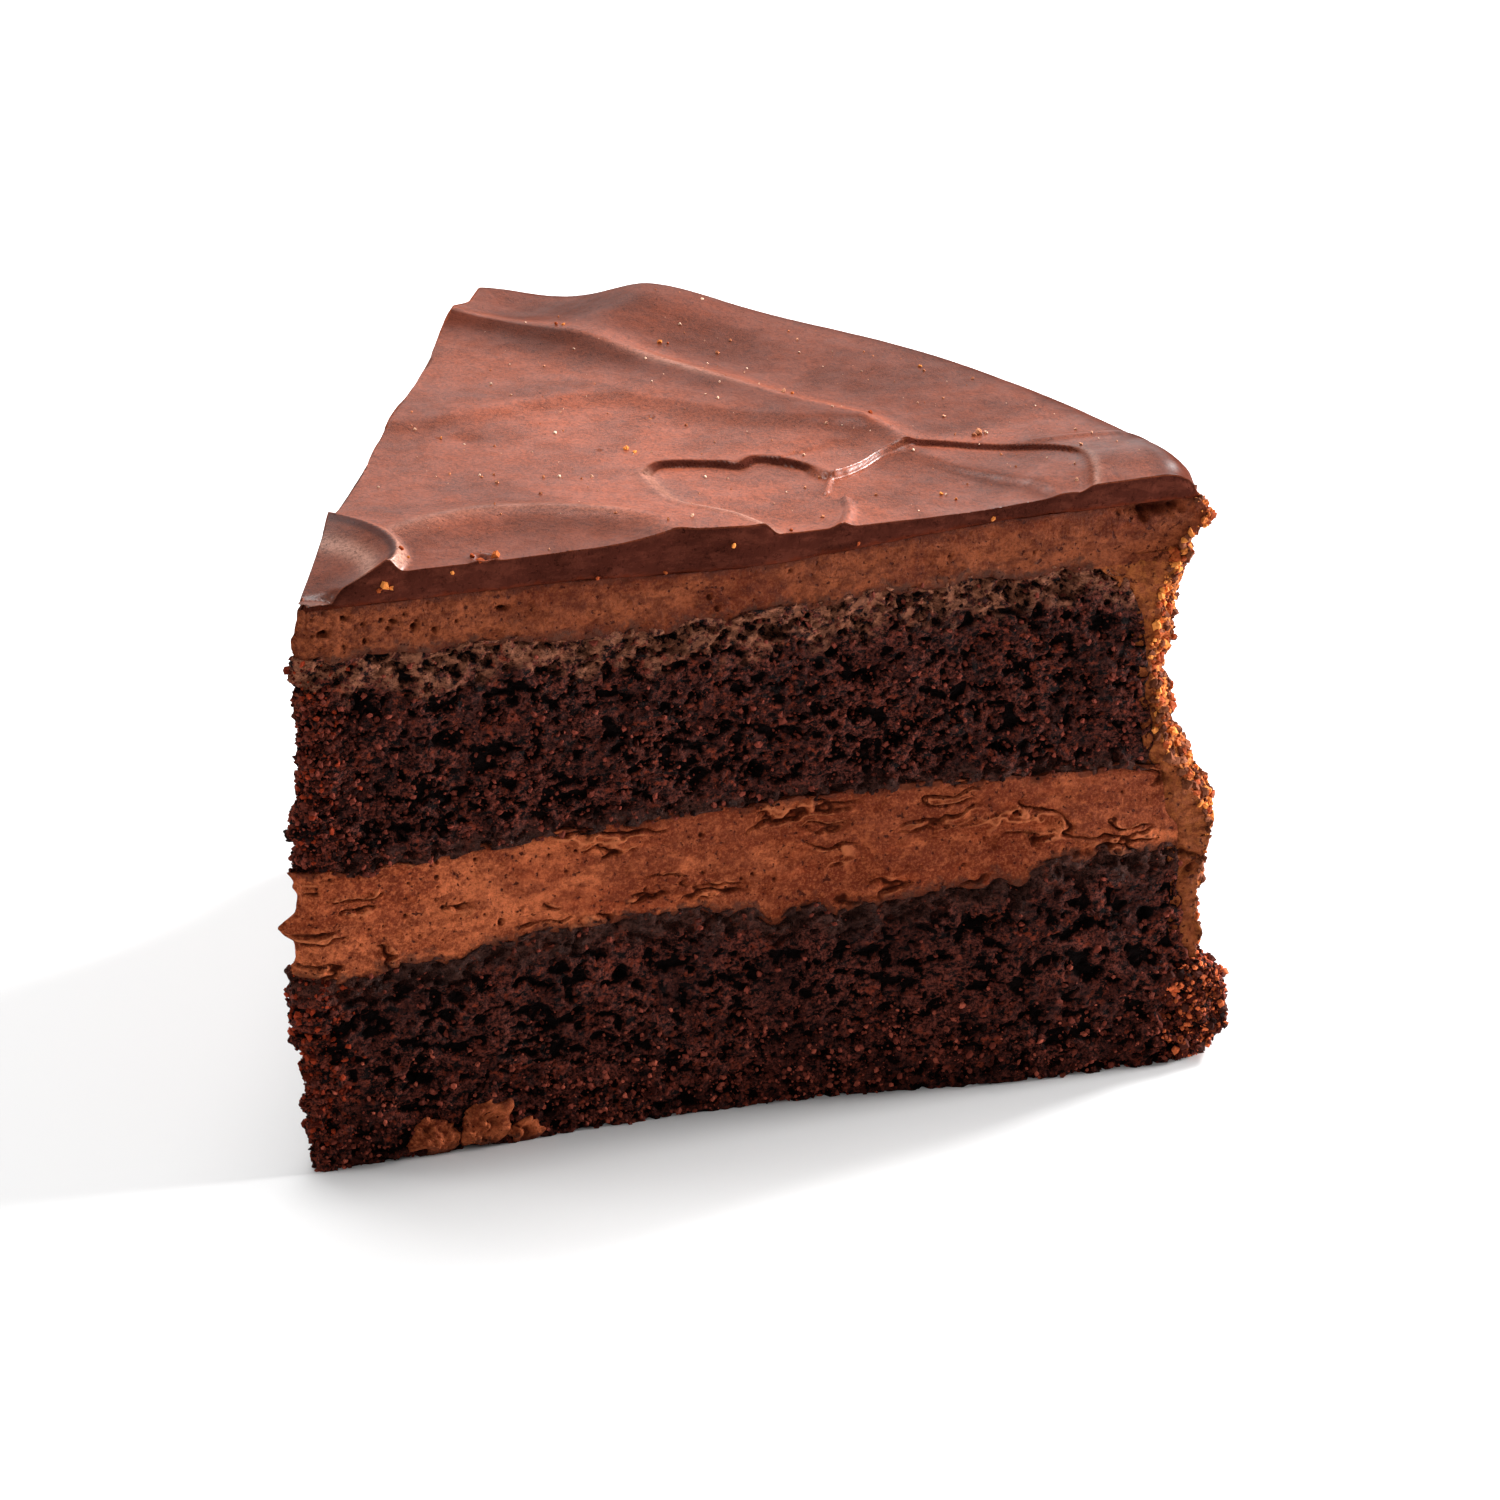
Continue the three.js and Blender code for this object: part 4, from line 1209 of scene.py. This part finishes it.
rng = np.random.default_rng(crumbs["seed"])
crumbFinishes = {name: crumbFinish(name, *tones) for name, tones in crumbs["finishes"].items()}
addCrumbs(grids, crumbFinishes, rng)
addBits(crumbFinishes, rng)
addSmears(fillingMaterial)

# The view: angles, then millimetres, and the shift of the aim in the picture's own plane.
cameraView = {
    "azimuth": math.radians(-19.46),
    "elevation": math.radians(22.51),
    "distance": 707.07,
    "lens": 132.5,
    "aim": (50.0, 35.0, 38.0),
    "aimRight": 17.9,
    "aimUp": -2.36,
}


def addCamera():
    # Stands off from the aim by its distance, along the way that the azimuth and the elevation give.
    azimuth, elevation = cameraView["azimuth"], cameraView["elevation"]
    back = Vector((
        math.sin(azimuth) * math.cos(elevation), -math.cos(azimuth) * math.cos(elevation), math.sin(elevation)
    ))
    right = Vector((math.cos(azimuth), math.sin(azimuth), 0))
    aim = Vector(cameraView["aim"]) + Vector((*cake["pointAt"], 0))
    aim += right * cameraView["aimRight"] + back.cross(right) * cameraView["aimUp"]
    camera = placed("camera", bpy.data.cameras.new("camera"))
    camera.data.lens = cameraView["lens"]
    camera.data.clip_start, camera.data.clip_end = 0.01, 10
    camera.location = (aim + back * cameraView["distance"]) * mm
    camera.rotation_euler = (-back).to_track_quat("-Z", "Y").to_euler()
    bpy.context.scene.camera = camera


addCamera()

# Soft boxes round the slice on a pale floor, in metres.
studio = {
    "floor": (0.78, 0.78, 0.78),
    "reach": 4.0,             # metres from the middle to the floor's edge
    "middle": 0.04,           # height that the lights face
    "worldStrength": 0.18,
    "lights": (
        # name, degrees round from +X, degrees above the floor, distance, width, height, power
        ("overheadSoftbox", 95, 75, 1.05, 0.6, 0.6, 11),
        ("keySoftbox", 22, 37, 1.25, 0.25, 0.25, 22),
        ("rightRim", -5, 10, 1.2, 0.25, 0.25, 32),
        ("rearCard", 72, 22, 1.3, 1.1, 0.6, 2.0),
        ("leftRim", 158, 28, 1.1, 0.3, 0.3, 2.5),
        ("frontFill", 240, 45, 1.25, 0.7, 0.7, 1.7),
    ),
}


def addLight(name, turn, above, distance, width, height, power):
    # A softbox on a sphere round the slice, turned to its middle.
    turn, above = math.radians(turn), math.radians(above)
    out = Vector((math.cos(turn) * math.cos(above), math.sin(turn) * math.cos(above), math.sin(above)))
    data = bpy.data.lights.new(name, "AREA")
    data.shape, data.size, data.size_y, data.energy = "RECTANGLE", width, height, power
    light = placed(name, data)
    light.location = out * distance + Vector((0, 0, studio["middle"]))
    light.rotation_euler = (-out).to_track_quat("-Z", "Y").to_euler()


def addFloor():
    # A level sheet under the slice, as wide as the view.
    finish = Finish("paleFloor", Roughness=0.9, **{"Base Color": studio["floor"], "Specular IOR Level": 0.1})
    mesh = bpy.data.meshes.new("floor")
    reach = studio["reach"]
    corners = [(-reach, -reach, 0), (reach, -reach, 0), (reach, reach, 0), (-reach, reach, 0)]
    mesh.from_pydata(corners, [], [(0, 1, 2, 3)])
    mesh.materials.append(finish.material)
    floor = placed("floor", mesh)


for light in studio["lights"]:
    addLight(*light)
addFloor()
world = bpy.data.worlds.new("softWhite")
world.use_nodes = True
world.node_tree.nodes["Background"].inputs["Color"].default_value = (1, 1, 1, 1)
world.node_tree.nodes["Background"].inputs["Strength"].default_value = studio["worldStrength"]
bpy.context.scene.world = world
bpy.context.scene.view_settings.view_transform = "Standard"
print("studio ready")
